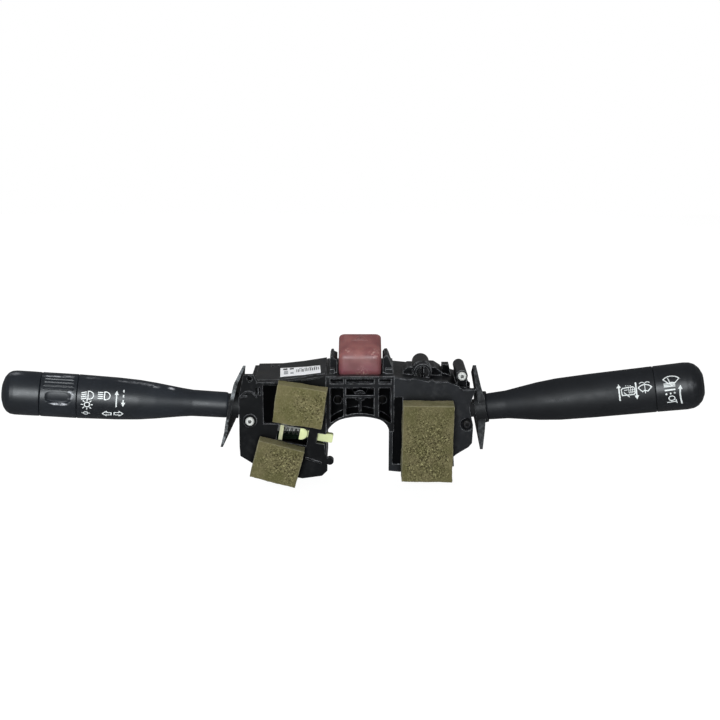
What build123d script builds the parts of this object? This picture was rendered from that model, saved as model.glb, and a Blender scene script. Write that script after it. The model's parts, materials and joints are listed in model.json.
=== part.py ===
from build123d import *
import math
import os

# Combination stalk switch for a steering column.  Millimetres, +Z up, the driver on the -Y side.
# The origin is on the column's axis, which runs along Y through the arch under the bridge.

# ---- driving dimensions -------------------------------------------------------------------
front_y = -22.0          # front face of the two covers and of the bridge
rear_y = 22.0            # rear face of the housings and of the bridge
cover_t = 3.0            # thickness of the front covers
wall = 2.0               # wall of the moulded housings
touch = 0.1              # gap where one fixed piece sits in another
run = 0.06               # radial clearance of a pin or rod that turns

column_r = 20.0          # radius of the column tube that the saddle sits on
saddle_front = -8.0      # where the saddle begins behind the front lip
lip_top = 19.3           # crown of the flatter arch in the front lip
bridge_half = 21.0       # half width of the bridge between the two housings
bridge_top = 45.0        # top of the bridge
bridge_foot = 9.5        # lowest edge of the bridge
rib = 1.5                # thickness of the bridge ribs

button_w = 26.5          # hazard button: width, front and back faces, heights, travel
button_front = -16.0
button_back = 10.0
button_skirt = 44.3
button_brow = 59.0
button_peak = 65.6
button_wall = 2.2
button_travel = 4.5

pivot_x = 46.0           # where the two axes of each lever cross, and their heights
left_pivot_z = 17.8
right_pivot_z = 15.3
trunnion_r = 4.0         # carrier trunnions, turning in the cover and the rear wall
pin_r = 2.0              # vertical pin that the lever swings on
rod_r = 4.0              # core rod inside each stalk
arm = 9.0                # square arm between the lever's eye and its rod

fin_t = 1.3              # dust shields on the levers: thickness, reach along Y, front rim
fin_front = -14.0
fin_back = 17.0
left_lean = 0.1          # how far the left shield leans towards the column per unit of depth

left_pad_w, left_pad_h = 30.9, 25.0    # foam pads: faces and thicknesses
right_pad_w, right_pad_h = 31.6, 49.4
left_pad_t = 10.0
right_pad_t = 13.0

shroud_l = 26.0          # connector shrouds on the rear
shroud_h = 13.0
shroud_depth = 12.0
shroud_wall = 1.6
blade_w = 2.3
blade_t = 0.8

left_stalk_l = 176.0     # from the pivot to the tip of each stalk
right_stalk_l = 168.0
left_neck, right_neck = 38.1, 35.3     # where the handles begin
left_neck_r, right_neck_r = 8.1, 8.3
left_grip_r, right_grip_r = 13.6, 14.1
ring_l = 22.6            # lighting ring between the handle and the end cap
cap_l = 23.4             # end cap of the lighting stalk
knob_l = 30.0            # rotary end knob of the wiper stalk
knob_end_r = 14.4
cap_dome, knob_dome = 8.6, 11.5        # how far the domes reach along the stalks
seam = 0.35              # gap at each turning ring

# Each lever: how far it points towards the driver and upwards in degrees, and its handle as
# (share of the way from neck to grip end, radius).
LEFT, RIGHT = -1, 1
pivot_z = {LEFT: left_pivot_z, RIGHT: right_pivot_z}
toward = {LEFT: 8.0, RIGHT: 10.0}
upward = {LEFT: 6.0, RIGHT: 9.3}
neck = {LEFT: left_neck, RIGHT: right_neck}
neck_r = {LEFT: left_neck_r, RIGHT: right_neck_r}
grip_end = {LEFT: left_stalk_l - ring_l - cap_l, RIGHT: right_stalk_l - knob_l}
grip_end_r = {LEFT: left_grip_r, RIGHT: right_grip_r}
grip = {
    LEFT: ((0.24, 8.3), (0.31, 9.0), (0.39, 10.0), (0.49, 11.3), (0.60, 12.4), (0.74, 13.1)),
    RIGHT: ((0.12, 8.8), (0.22, 10.4), (0.31, 11.8), (0.43, 13.0), (0.63, 13.6)),
}

cavity_front = front_y + cover_t
board_t = 1.6


# ---- helpers ------------------------------------------------------------------------------
def bar(x0, x1, y0, y1, z0, z1):
    """A block between two corners."""
    centre = ((x0 + x1) / 2, (y0 + y1) / 2, (z0 + z1) / 2)
    return Pos(*centre) * Box(abs(x1 - x0), abs(y1 - y0), abs(z1 - z0))


def plate(points, y0, y1):
    """A closed XZ outline carried from y0 to y1."""
    corners = [(x, y0, z) for x, z in points]
    face = make_face(Polyline(*corners, close=True))
    return extrude(face, amount=y1 - y0, dir=(0, 1, 0))


def rod_y(x, z, radius, y0, y1):
    """A round bar along Y."""
    return Pos(x, (y0 + y1) / 2, z) * Rot(90, 0, 0) * Cylinder(radius, y1 - y0)


def rod_z(x, y, radius, z0, z1):
    """A round bar along Z."""
    return Pos(x, y, (z0 + z1) / 2) * Cylinder(radius, z1 - z0)


def side_bar(side, u0, u1, y0, y1, z0, z1):
    """A block placed by its distance outwards from the lever's pivot and its height over it."""
    base = pivot_z[side]
    return bar(side * (pivot_x + u0), side * (pivot_x + u1), y0, y1, base + z0, base + z1)


def along(side):
    """The stalk's own frame: X outwards along the stalk, Z upwards, origin at the pivot."""
    yaw, pitch = math.radians(toward[side]), math.radians(upward[side])
    out = (side * math.cos(pitch) * math.cos(yaw), -math.cos(pitch) * math.sin(yaw), math.sin(pitch))
    up = (-side * math.sin(pitch) * math.cos(yaw), math.sin(pitch) * math.sin(yaw), math.cos(pitch))
    return Plane(origin=(side * pivot_x, 0, pivot_z[side]), x_dir=out, z_dir=up)


def rod_x(radius, x0, x1):
    """A round bar along the stalk's own X."""
    return Pos((x0 + x1) / 2, 0, 0) * Rot(0, 90, 0) * Cylinder(radius, x1 - x0)


def coil(radius, wire, length, turns, steps=8):
    """A compression spring standing on z = 0, bent in straight lengths of square wire."""
    count = turns * steps
    rise = (length - wire) / count
    spots = []
    for k in range(count + 1):
        angle = 2 * math.pi * k / steps
        spots.append((radius * math.cos(angle), radius * math.sin(angle), wire / 2 + rise * k))
    path = Polyline(*spots)
    section = Plane(origin=path @ 0, z_dir=path % 0) * Rectangle(wire, wire)
    return sweep(section, path=path, transition=Transition.RIGHT)


# ---- bridge and hazard switch -------------------------------------------------------------
well_floor = button_skirt - button_travel - 0.5
switch_half = 9.8
switch_floor = 27.2
switch_roof = 37.6
stem_half = 3.5
stem_y0, stem_y1 = 2.5, 9.5
bolt_x, bolt_z, bolt_r = 14.0, 26.0, 2.65
tie_x, tie_z, tie_r = 17.0, 38.5, 1.7
tie_head_r = 3.3


lip_flat = 12.0
lip_foot_z = bridge_foot - 1
lip_left = (-17.6, 13.6), (-bridge_half, lip_foot_z)        # corner and foot of either end
lip_right = (16.7, 13.5), (18.1, lip_foot_z)


def lip_cut():
    """The opening under the front lip: a flat crown that turns down into two tight corners."""
    flat_z = lip_top - 1.9
    crown = ThreePointArc((-lip_flat, front_y, flat_z), (0, front_y, lip_top), (lip_flat, front_y, flat_z))
    ends = []
    for start_x, ((corner_x, corner_z), (foot_x, foot_z)) in ((-lip_flat, lip_left), (lip_flat, lip_right)):
        ends.append(ThreePointArc((start_x, front_y, flat_z), (corner_x, front_y, corner_z),
                                  (foot_x, front_y, foot_z)))
    left, right = ends
    foot = Line(left @ 1, right @ 1)
    return extrude(make_face(crown + right + foot + left), amount=saddle_front - front_y, dir=(0, 1, 0))


def bridge_pockets():
    """Front pockets between the ribs: a shallow row under the rail, deep ones over the arch."""
    rail_z = well_floor - rib
    pockets = []
    for x0, x1 in ((-18.4, -10.1), (-8.7, 8.8), (11.6, 19.2)):
        pockets.append(bar(x0, x1, front_y, button_front - 2.5, well_floor + 1.2, bridge_top - rib))
    over_arch = rod_y(0, lip_top - 27, 27 + 2.2, front_y, saddle_front)
    for x0, x1 in ((-18.4, -10.1), (11.6, 19.2)):
        pockets.append(bar(x0, x1, front_y, saddle_front, bridge_foot + 2.5, rail_z) - over_arch)
    for z0, z1 in ((33.1, rail_z), (bridge_foot + 2.5, 31.4)):
        pockets.append(bar(-8.7, 8.8, front_y, saddle_front, z0, z1) - over_arch)
    return pockets


def towers():
    """The two ears that guide the hazard button."""
    guide = button_w / 2 + 1.0
    left = [(-18.6, bridge_top - 2), (-18.6, 54.0), (-17.9, 55.6), (-16.6, 55.6), (-16.2, 54.2),
            (-guide, 53.4), (-guide, bridge_top - 2)]
    right = [(guide, bridge_top - 2), (guide, 54.0), (15.4, 55.7), (17.0, 55.9), (18.0, 54.0), (20.4, 47.0),
             (20.4, bridge_top - 2)]
    ears = plate(left, -13, 6) + plate(right, -13, 6)
    # a foot web in front of and behind each ear
    for x0, x1 in ((-18.6, -guide - 1.5), (guide + 1.5, 20.4)):
        ears += bar(x0, x1, -15.5, 9, bridge_top - 2, bridge_top + 3)
    return ears


ear_y = rear_y - 5       # the housings' ears lie in pockets of this depth, heads below the face
ear_t = 2.5
ear_in = 12.5
ear_half = 5.0


def make_bracket():
    body = bar(-bridge_half, bridge_half, front_y, rear_y, bridge_foot, bridge_top)
    body -= rod_y(0, 0, column_r, saddle_front, rear_y)
    body -= lip_cut()
    for pocket in bridge_pockets():
        body -= pocket
    half = button_w / 2 + 0.8
    body -= bar(-half, half, button_front - 1, button_back + 1, well_floor, bridge_top)
    body -= bar(-half + 2, half - 2, button_back + 3, rear_y - 2, well_floor, bridge_top)
    body += towers()
    body -= bar(-switch_half - touch, switch_half + touch, saddle_front + 4, rear_y,
                switch_floor - touch, switch_roof + touch)
    body -= bar(-stem_half - 0.4, stem_half + 0.4, stem_y0 - 0.4, stem_y1 + 0.4, switch_roof, well_floor)
    for side in (LEFT, RIGHT):
        body -= rod_y(side * bolt_x, bolt_z, bolt_r, saddle_front, rear_y)
        body -= bar(side * (ear_in - touch), side * bridge_half, ear_y - touch, rear_y,
                    tie_z - ear_half - touch, tie_z + ear_half + touch)
        body -= rod_y(side * tie_x, tie_z, tie_r, ear_y - 8, ear_y)
        # lightening slots either side of the column
        body -= bar(side * 19.4, side * bridge_half, 2, rear_y - 3, bridge_foot + 4, 24)
    # the conical locating boss in the middle pocket, on its own rib
    body += bar(-rib / 2, rib / 2, front_y + 4, saddle_front, column_r + 1, 31)
    peg_front = front_y + 4
    peg = Cone(5.0, 3.6, saddle_front - peg_front)
    body += Pos(0, (peg_front + saddle_front) / 2, 31.6) * Rot(90, 0, 0) * peg
    body -= rod_y(0, 31.6, 1.7, front_y + 4, saddle_front)
    return body


def make_hazard_button():
    half = button_w / 2
    side_view = [(button_front, button_skirt), (button_front, button_brow), (button_back, button_peak),
                 (button_back, button_skirt)]
    corners = [(-half, y, z) for y, z in side_view]
    block = extrude(make_face(Polyline(*corners, close=True)), amount=button_w, dir=(1, 0, 0))
    block = chamfer(block.edges().filter_by(Axis.Z), 1.8)
    crown = block.faces().sort_by(Axis.Z)[-1]
    block = chamfer(crown.edges(), 1.6)
    inside = half - button_wall
    hollow = bar(-inside, inside, button_front + button_wall, button_back - button_wall,
                 button_skirt, button_brow - button_wall - 1)
    socket = bar(-stem_half - 2, stem_half + 2, stem_y0 - 2, stem_y1 + 2, button_skirt + 1, button_brow)
    block = block - (hollow - socket)
    return block - bar(-stem_half - touch, stem_half + touch, stem_y0 - touch, stem_y1 + touch,
                       button_skirt, button_skirt + 8)


stem_foot = switch_floor + 1.5 + 8.6


def make_hazard_slider():
    return bar(-stem_half, stem_half, stem_y0, stem_y1, stem_foot, button_skirt + 8 - touch)


mouth_depth = 8.0        # socket in the switch's rear, and how far its blades stay below the rim
mouth_clear = 4.6
mouth_half = switch_half - 1.5


def make_hazard_switch():
    """The contact box under the button, with a recessed five-blade socket in its rear."""
    rear = rear_y - 2 * touch
    body = bar(-switch_half, switch_half, saddle_front + 4 + touch, rear, switch_floor, switch_roof)
    body -= bar(-stem_half - 0.4, stem_half + 0.4, stem_y0 - 0.4, stem_y1 + 0.4,
                switch_floor + 1.5, switch_roof)
    body -= bar(-mouth_half, mouth_half, rear - mouth_depth, rear, switch_floor + 1.5, switch_roof - 1.5)
    for step in range(5):
        x = -6.4 + 3.2 * step
        body += bar(x - 0.4, x + 0.4, rear - mouth_depth, rear - mouth_clear, 31, 33.8)
    return body


def make_hazard_spring():
    place = Pos(0, (stem_y0 + stem_y1) / 2, switch_floor + 1.5 + touch)
    return place * coil(2.2, 0.6, stem_foot - switch_floor - 1.5 - 2 * touch, 4)


# ---- housings and covers ------------------------------------------------------------------
left_shell = [(-68.0, 40.3), (-50, 40.6), (-36, 42.2), (-bridge_half, 44.6), (-bridge_half, -16),
              (-24.5, -19), (-36, -20), (-60, -16), (-66, -10.5), (-66, 30)]
right_shell = [(bridge_half, 43.5), (33.5, 42.2), (46.5, 40.3), (51, 40.3), (61, 37.2), (68.5, 35.6),
               (68.5, 31.5), (64, 27), (64, -1), (60, -4), (57.5, -6), (57.5, -12), (24.8, -15.5),
               (bridge_half, -15)]
left_face = [(-71.4, 46.0), (-65.0, 46.0), (-63.4, 41.6), (-50, 41.8), (-36, 43.2), (-bridge_half, 45.6),
             (-bridge_half, 10.7), (-22, 2), (-21.6, -5.2), (-20.4, -7.6), (-20.4, -16.2), (-23.8, -19.6),
             (-36, -21.3), (-60, -17), (-67, -11.4), (-74.7, -6.4), (-75.0, 0), (-74.6, 32)]
right_face = [(bridge_half, 45), (25.7, 43.9), (31, 43.3), (33.5, 43.7), (42, 41.6), (44.6, 42.8),
              (46.5, 41.9),
              (53, 41.9), (58, 39.8), (61, 38.6), (63.5, 36.9), (71.2, 36.9), (67.8, 27.4), (67.8, 23.4),
              (70.2, 13.6), (69.7, 2), (67.6, -0.6), (60.3, -5.2), (58.4, -6.9), (58.8, -13.3),
              (24.8, -16.9), (17.9, -16.2), (17.9, bridge_foot), (bridge_half, bridge_foot)]
connector_x = 44.0
connector_z = -4.0
window_y = -3.0
bearing_r = 6.5
rear_rib_h = 1.2


def shell(side, points):
    """A tub with its open side to the front, a lever window outside and bearings at the back."""
    outer = plate(points, cavity_front, rear_y)
    face = make_face(Polyline(*[(x, cavity_front, z) for x, z in points], close=True))
    inner = offset(face, amount=-wall, kind=Kind.INTERSECTION)
    cavity = extrude(inner, amount=rear_y - cavity_front - wall, dir=(0, 1, 0))
    body = outer - cavity
    body -= side_bar(side, 8, 30, window_y - 9.5, window_y + 9.5, -10.5, 14.5)
    # bearing ring and stiffening ribs on the rear wall
    z = pivot_z[side]
    body += rod_y(side * pivot_x, z, bearing_r, rear_y, rear_y + rear_rib_h)
    body += bar(side * (bridge_half + 4), side * 62, rear_y, rear_y + rear_rib_h, z - 0.7, z + 0.7)
    body += bar(side * pivot_x - 0.7, side * pivot_x + 0.7, rear_y, rear_y + rear_rib_h, 8, 36)
    body -= rod_y(side * pivot_x, z, trunnion_r + run, rear_y - wall, rear_y + rear_rib_h)
    half_l, half_h = shroud_l / 2 - 2, shroud_h / 2 - 2
    body -= bar(side * connector_x - half_l - touch, side * connector_x + half_l + touch,
                rear_y - wall, rear_y, connector_z - half_h - touch, connector_z + half_h + touch)
    # posts that carry the detent leaf
    for drop in (-10.5, 10.5):
        body += side_bar(side, bridge_half + wall - pivot_x - 0.5, -14.1, -5, 5, drop - 1.5, drop + 1.5)
    # ear that lies in the bridge's pocket and takes the tie screw
    ear = bar(side * ear_in, side * (bridge_half + 1), ear_y, ear_y + ear_t,
              tie_z - ear_half, tie_z + ear_half)
    body += ear
    body -= rod_y(side * tie_x, tie_z, tie_head_r + touch, ear_y + ear_t, rear_y)
    return body - rod_y(side * tie_x, tie_z, tie_r + touch, ear_y, ear_y + ear_t)


pawl_y0, pawl_y1 = -18.4, -14.4
pawl_x, pawl_z, pawl_tilt = -36.9, 7.1, 10.0
pawl_half = 2.7
pawl_head_r = 4.0
pawl_flat, pawl_block, pawl_tip = -0.8, 10.5, 20.2
window_right = 4.7       # the window's end over the pawl's head


def tilted(shape):
    """Turns a shape made about the pawl's head into the pawl's place."""
    return Pos(pawl_x, 0, pawl_z) * Rot(0, pawl_tilt, 0) * shape


left_screw_x, left_screw_z = -68.0, 16.8
right_screw_x, right_screw_z = 66.4, 14.2
cover_screw_r = 1.6
boss_l = 6.0


def screw_boss(x, z):
    return rod_y(x, z, 3.6, cavity_front, cavity_front + boss_l)


def screw_bore(x, z):
    return rod_y(x, z, cover_screw_r + touch, cavity_front, cavity_front + boss_l)


def make_left_housing():
    body = shell(LEFT, left_shell)
    # the slot that guides the cancelling pawl
    guide = bar(8, 20, cavity_front, pawl_y1 + touch, -pawl_half - touch, pawl_half + touch)
    body -= tilted(guide)
    return body + screw_boss(left_screw_x, left_screw_z) - screw_bore(left_screw_x, left_screw_z)


barrel_x, barrel_z, barrel_r = 38.9, 44.3, 5.5
boss_x, boss_z, boss_r = 63.0, 43.8, 3.6
boss_front, boss_back = -16.0, 12.0


def make_right_housing():
    body = shell(RIGHT, right_shell)
    # open barrel with its collar, on a saddle block
    body += rod_y(barrel_x, barrel_z, barrel_r, -10, 17)
    body += rod_y(barrel_x, barrel_z, barrel_r + 0.7, -4, -2)
    body += bar(barrel_x - 4, barrel_x + 4, -9, 16, 40, barrel_z - 1)
    body -= rod_y(barrel_x, barrel_z, barrel_r - 1.4, -10, 10)
    # screw boss on its foot, with a gusset to the outer corner
    body += rod_y(boss_x, boss_z, boss_r, boss_front, boss_back)
    body += bar(boss_x - 3, boss_x + 3, boss_front, boss_back, 36, boss_z)
    body += plate([(boss_x, 36), (68.5, 35.6), (68.5, 38.0), (boss_x, 42.0)], -12, -10)
    body -= rod_y(boss_x, boss_z, 1.6, boss_front, -4)
    # clip, its ramp, and the block beside the barrel
    body += plate([(52.0, 39.0), (52.0, 45.4), (56.4, 45.4), (57.8, 38.0)], 5, 12)
    body += plate([(44.2, 40), (44.2, 45.6), (47.2, 45.4), (51.4, 42.6), (51.4, 39.6)], -2, 15)
    body += plate([(27.0, 42), (27.0, 44.8), (29.6, 47.4), (32.8, 47.4), (32.8, 42)], -8, 6)
    return body + screw_boss(right_screw_x, right_screw_z) - screw_bore(right_screw_x, right_screw_z)


def cover_bearing(side):
    return rod_y(side * pivot_x, pivot_z[side], trunnion_r + run, front_y, cavity_front)


lip_h = 0.8              # height of the raised lips and collars on the covers
hole_x, hole_z = -67.8, 43.4


def make_left_cover():
    body = plate(left_face, front_y, cavity_front)
    body += rod_y(-18.9, -9.8, 2.5, front_y, cavity_front)
    body -= cover_bearing(LEFT)
    # window over the cancelling mechanism, tilted with the pawl
    body -= tilted(bar(-14.5, window_right, front_y, cavity_front, -6.2, 4.8))
    # tall recess beside the upper pad, slots and ridge near the open boss
    body -= bar(-59.8, -50.6, front_y, front_y + 1.4, 14.5, 39.5)
    for x in (-64.6, -62.4):
        body -= bar(x, x + 1.3, front_y, front_y + 1.8, 33, 38)
    lip_y = front_y - lip_h
    ridge = rod_y(-68.5, 30.5, 5.4, lip_y, front_y) - rod_y(-68.5, 30.5, 4.4, lip_y, front_y)
    body += ridge & bar(-75, -62, front_y - lip_h, front_y, 31.5, 40)
    body += bar(-74.0, -69.5, front_y - lip_h, front_y, 31.9, 32.9)
    body -= rod_y(hole_x, hole_z, 1.7, front_y, front_y + 2.2)
    # raised collar and hole of the cover screw
    body += rod_y(left_screw_x, left_screw_z, 4.2, front_y - lip_h, front_y)
    body -= rod_y(left_screw_x, left_screw_z, cover_screw_r + touch, front_y - lip_h, cavity_front)
    # notch in the edge that shows the end of the pawl
    body -= tilted(bar(10.2, 22, front_y, cavity_front, -3.3, 3.3))
    # lip along the top edge, and the ledge at the lower right
    for top in ([left_face[2], (-50.6, 41.8)], left_face[4:6]):
        body += plate(top + [(x, z - 0.9) for x, z in reversed(top)], front_y - lip_h, front_y)
    return body + plate([(-34, -7.0), (-24, -10.4), (-24, -11.6), (-34, -8.2)], front_y - lip_h, front_y)


def make_right_cover():
    body = plate(right_face, front_y, cavity_front)
    body -= cover_bearing(RIGHT)
    body -= bar(20.2, 26.4, front_y, front_y + 1.4, -12, 32)
    body -= rod_y(right_screw_x, right_screw_z, 4.3, front_y, front_y + 1.5)
    body -= rod_y(right_screw_x, right_screw_z, cover_screw_r + touch, front_y, cavity_front)
    # lips that frame the upper edge, in three runs
    for first, last in ((0, 2), (5, 7), (9, 11)):
        top = [(x, z) for x, z in right_face[first:last + 1]]
        body += plate(top + [(x, z - 0.8) for x, z in reversed(top)], front_y - lip_h, front_y)
    return body


lid_t = 1.4
lid_outer, lid_inner = -65.2, -bridge_half - 0.4


def make_left_lid():
    """The flat lid on top of the left housing, which follows its slope, with two snap slots."""
    def height(x, first):
        (x0, z0), (x1, z1) = left_shell[first], left_shell[first + 1]
        return z0 + (z1 - z0) * (x - x0) / (x1 - x0)
    ends = (lid_outer, height(lid_outer, 0)), (lid_inner, height(lid_inner, 2))
    under = [ends[0], left_shell[1], left_shell[2], ends[1]]
    over = [(x, z + lid_t) for x, z in reversed(under)]
    lid = plate(under + over, cavity_front + 1, rear_y - 1)
    for x in (-57.0, -53.0):
        lid -= bar(x, x + 1.6, 13, 16, 38, 46)
    return lid


# ---- what the housings hold ---------------------------------------------------------------
nose_r = 13.0
leaf_t = 0.5


def make_carrier(side):
    """The block that turns about Y on its trunnions and holds the lever's upright pin."""
    z = pivot_z[side]
    body = side_bar(side, -11, 12, -11, 11, -11.5, 11.5)
    body = chamfer(body.edges().filter_by(Axis.Y), 1.5)
    body -= side_bar(side, -7, 13, -8.5, 7.5, -7.2, 7.2)
    body += rod_y(side * pivot_x, z, trunnion_r, front_y + 0.5, -10.5)
    body += rod_y(side * pivot_x, z, trunnion_r, 10.5, rear_y - 0.5)
    body -= rod_z(side * pivot_x, 0, pin_r + 0.02, z - 12, z + 12)
    nose = rod_y(side * pivot_x, z, nose_r, -4.5, 4.5)
    return body + (nose & side_bar(side, -14, -10.5, -5, 5, -5, 5))


def make_pivot_pin(side):
    return rod_z(side * pivot_x, 0, pin_r, pivot_z[side] - 11.3, pivot_z[side] + 11.3)


def make_detent_leaf(side):
    start = -nose_r - 0.6
    return side_bar(side, start - leaf_t, start, -4.8, 4.8, -12, 12)


def make_contact_board(side):
    x0, x1 = side * (bridge_half + wall + 3), side * (pivot_x + 9)
    board = bar(x0, x1, rear_y - wall - board_t, rear_y - wall, -9, 33)
    hole = rod_y(side * pivot_x, pivot_z[side], trunnion_r + 1, rear_y - wall - board_t, rear_y - wall)
    return board - hole


def make_contact_wiper(side):
    """Two sprung brass fingers on the carrier's back that sweep the board."""
    contact_y = rear_y - wall - board_t - 0.35
    profile = [(11, 0), (11.6, 0), (11.6, 3.2), (contact_y, 7.4), (contact_y, 8.6), (11, 3.8)]
    body = side_bar(side, 4.4, 8.9, 11, 11.6, -4.5, -1.0)
    for u in (5.4, 7.9):
        x = side * (pivot_x + u)
        corners = [(x - 0.9, y, pivot_z[side] - 1.5 + z) for y, z in profile]
        body += extrude(make_face(Polyline(*corners, close=True)), amount=1.8, dir=(1, 0, 0))
    return body


def make_connector(side):
    """An open shroud on the rear, with a plug part that fills the window in the rear wall."""
    x = side * connector_x
    out = rear_y + shroud_depth
    body = bar(x - shroud_l / 2, x + shroud_l / 2, rear_y, out, connector_z - shroud_h / 2,
               connector_z + shroud_h / 2)
    body = chamfer(body.edges().filter_by(Axis.Y), 1.0)
    body -= bar(x - shroud_l / 2 + shroud_wall, x + shroud_l / 2 - shroud_wall, rear_y + 2, out,
                connector_z - shroud_h / 2 + shroud_wall, connector_z + shroud_h / 2 - shroud_wall)
    half_l, half_h = shroud_l / 2 - 2, shroud_h / 2 - 2
    body += bar(x - half_l, x + half_l, rear_y - wall, rear_y, connector_z - half_h, connector_z + half_h)
    # latch ramp on the top wall
    ramp_z = connector_z + shroud_h / 2
    body += plate([(x - 3, ramp_z), (x + 3, ramp_z), (x + 3, ramp_z + 1.4), (x - 3, ramp_z + 1.4)],
                  out - 5, out - 2.5)
    for px, pz in blade_places(side):
        body -= bar(px - blade_w / 2 - 0.05, px + blade_w / 2 + 0.05, rear_y - wall, rear_y + 2,
                    pz - blade_t / 2 - 0.05, pz + blade_t / 2 + 0.05)
    return body


def blade_places(side):
    spots = []
    for row in (-2.0, 2.0):
        for step in range(5):
            spots.append((side * connector_x - 7.6 + 3.8 * step, connector_z + row))
    return spots


def make_terminals(side):
    blades = []
    for x, z in blade_places(side):
        blades.append(bar(x - blade_w / 2, x + blade_w / 2, rear_y - wall, rear_y + 9,
                          z - blade_t / 2, z + blade_t / 2))
    return Compound(children=[blade.solid() for blade in blades])


# ---- cancelling pawl ----------------------------------------------------------------------
def make_pawl():
    """A round head, a bar through the guide slot and a block that reaches the column's cam."""
    head = rod_y(0, 0, pawl_head_r, pawl_y0, pawl_y1) & bar(pawl_flat, 5, pawl_y0, pawl_y1, -5, 5)
    stem = bar(pawl_flat, pawl_block, pawl_y0 + 1.4, pawl_y1, -pawl_half + 0.6, pawl_half - 0.6)
    block = bar(pawl_block, pawl_tip, pawl_y0, pawl_y1, -pawl_half, pawl_half)
    block = chamfer(block.edges().filter_by(Axis.Y).sort_by(Axis.X)[-2:], 0.6)
    return tilted(head + stem + block)


retainer_x = -11.0


def make_pawl_spring():
    spring = coil(1.7, 0.5, pawl_flat - retainer_x - 2 * touch, 5)
    y = (pawl_y0 + pawl_y1) / 2
    return tilted(Pos(retainer_x + touch, y, 0) * Rot(0, 90, 0) * spring)


def make_pawl_retainer():
    """The strip behind the cover that the pawl's spring pushes against."""
    return tilted(bar(retainer_x - 2.4, retainer_x, cavity_front, pawl_y1 + 1, -8.4, 4.4))


# ---- levers -------------------------------------------------------------------------------
def make_shaft(side):
    """Eye on the upright pin, a square arm and the rod that carries the handle."""
    z = pivot_z[side]
    eye = rod_z(side * pivot_x, 0, 5.8, z - 7, z + 7)
    end = grip_end[side] + (ring_l + cap_l - 6 if side == LEFT else knob_l - 6)
    reach = Pos(neck[side] / 2, 0, 0) * Box(neck[side], arm, arm)
    core = rod_x(rod_r, neck[side] - 1, end)
    body = eye + along(side) * (reach + core)
    return body - rod_z(side * pivot_x, 0, pin_r + run, z - 8, z + 8)


def turned(stations):
    """A solid of revolution about the stalk through (distance, radius) stations."""
    first, last = stations[0][0], stations[-1][0]
    corners = [(first, 0, 0)] + [(x, 0, r) for x, r in stations] + [(last, 0, 0)]
    return revolve(make_face(Polyline(*corners, close=True)), Axis.X)


def make_handle(side):
    start, end = neck[side], grip_end[side]
    stations = [(start, neck_r[side] - 0.5), (start + 0.8, neck_r[side])]
    stations += [(start + share * (end - start), r) for share, r in grip[side]]
    stations.append((end, grip_end_r[side]))
    return along(side) * (turned(stations) - rod_x(rod_r + 0.02, start, end))


thumb_low, thumb_high = 4.0, 3.2       # the ring's thumb pocket either side of its middle


def make_ring():
    """Lighting ring: a plain drum with grip ribs over its upper half and a thumb pocket in front."""
    x0, x1 = grip_end[LEFT] + seam, grip_end[LEFT] + ring_l - seam
    r = grip_end_r[LEFT]
    middle = (x0 + x1) / 2
    body = turned([(x0, r - 0.4), (x0 + 0.4, r), (x1 - 0.4, r), (x1, r - 0.4)])
    for step in range(5):
        grip_rib = Pos(middle, 0, 0) * Rot(-19 - 10 * step, 0, 0) * Pos(0, 0, r) * Box(x1 - x0 - 3, 1.0, 1.1)
        body += grip_rib
    pocket = Rot(-90, 0, 0) * Pos(middle, (thumb_high - thumb_low) / 2, r + 0.2)
    body -= pocket * Box(x1 - x0 - 6, thumb_low + thumb_high, 2.8)
    lip = Rot(-109, 0, 0) * Pos(middle, 0, r) * Box(x1 - x0 - 5, 1.6, 1.8)
    return along(LEFT) * (body + lip - rod_x(rod_r + run, x0, x1))


def dome(x1, r, depth):
    """Stations of a blunt dome on a drum's outer end: (x / depth) ** 2.4 + (y / r) ** 2.4 = 1."""
    power = 2.4
    shares = (1.0, 0.97, 0.88, 0.70, 0.45, 0.2)
    return [(x1 - depth * (1 - (1 - share ** power) ** (1 / power)), r * share) for share in shares]


def make_cap():
    x0, x1 = grip_end[LEFT] + ring_l, left_stalk_l
    body = turned([(x0, left_grip_r - 0.4), (x0 + 0.4, left_grip_r)] + dome(x1, left_grip_r, cap_dome))
    return along(LEFT) * (body - rod_x(rod_r + 0.02, x0, x1 - 6))


def make_knob():
    x0, x1 = grip_end[RIGHT] + seam, right_stalk_l
    body = turned([(x0, right_grip_r - 0.4), (x0 + 0.4, right_grip_r)] + dome(x1, knob_end_r, knob_dome))
    return along(RIGHT) * (body - rod_x(rod_r + run, x0, x1 - 5.6))


# Front edges of the shields from the top down: X, Z and the width of the rim.
left_fin_line = [(-72.2, 49.9, 1.5), (-78.4, 38, 2.4), (-81.8, 25, 2.4), (-84.2, 13.5, 2.0), (-85.4, 6, 1.9),
                 (-87.9, -3.3, 1.5)]
right_fin_line = [(71.7, 50.2, 2.0), (75.0, 37, 3.2), (78.0, 27, 4.3), (78.8, 18, 4.8), (78.4, 7.5, 4.2),
                  (77.4, -4.8, 1.8)]
fin_line = {LEFT: left_fin_line, RIGHT: right_fin_line}
collar_r = {LEFT: left_neck_r, RIGHT: right_neck_r + 2.2}
collar_in = {LEFT: 31.0, RIGHT: 28.5}
fin_lean = {LEFT: left_lean, RIGHT: 0.0}
fin_fall = {LEFT: 17.0, RIGHT: 14.0}   # how much lower its top is at the back
fin_climb = 12.0                       # how much higher its foot is at the back


def fin_strip(side, thick, depth, lean):
    """The strip inside the shield's line, as thick as given or as wide as the whole rim."""
    line = fin_line[side]
    outline = [(x - side * (w - (thick or w)), fin_front, z) for x, z, w in line]
    outline += [(x - side * w, fin_front, z) for x, z, w in reversed(line)]
    return extrude(make_face(Polyline(*outline, close=True)), amount=depth, dir=(-side * lean, 1, 0))


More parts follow.
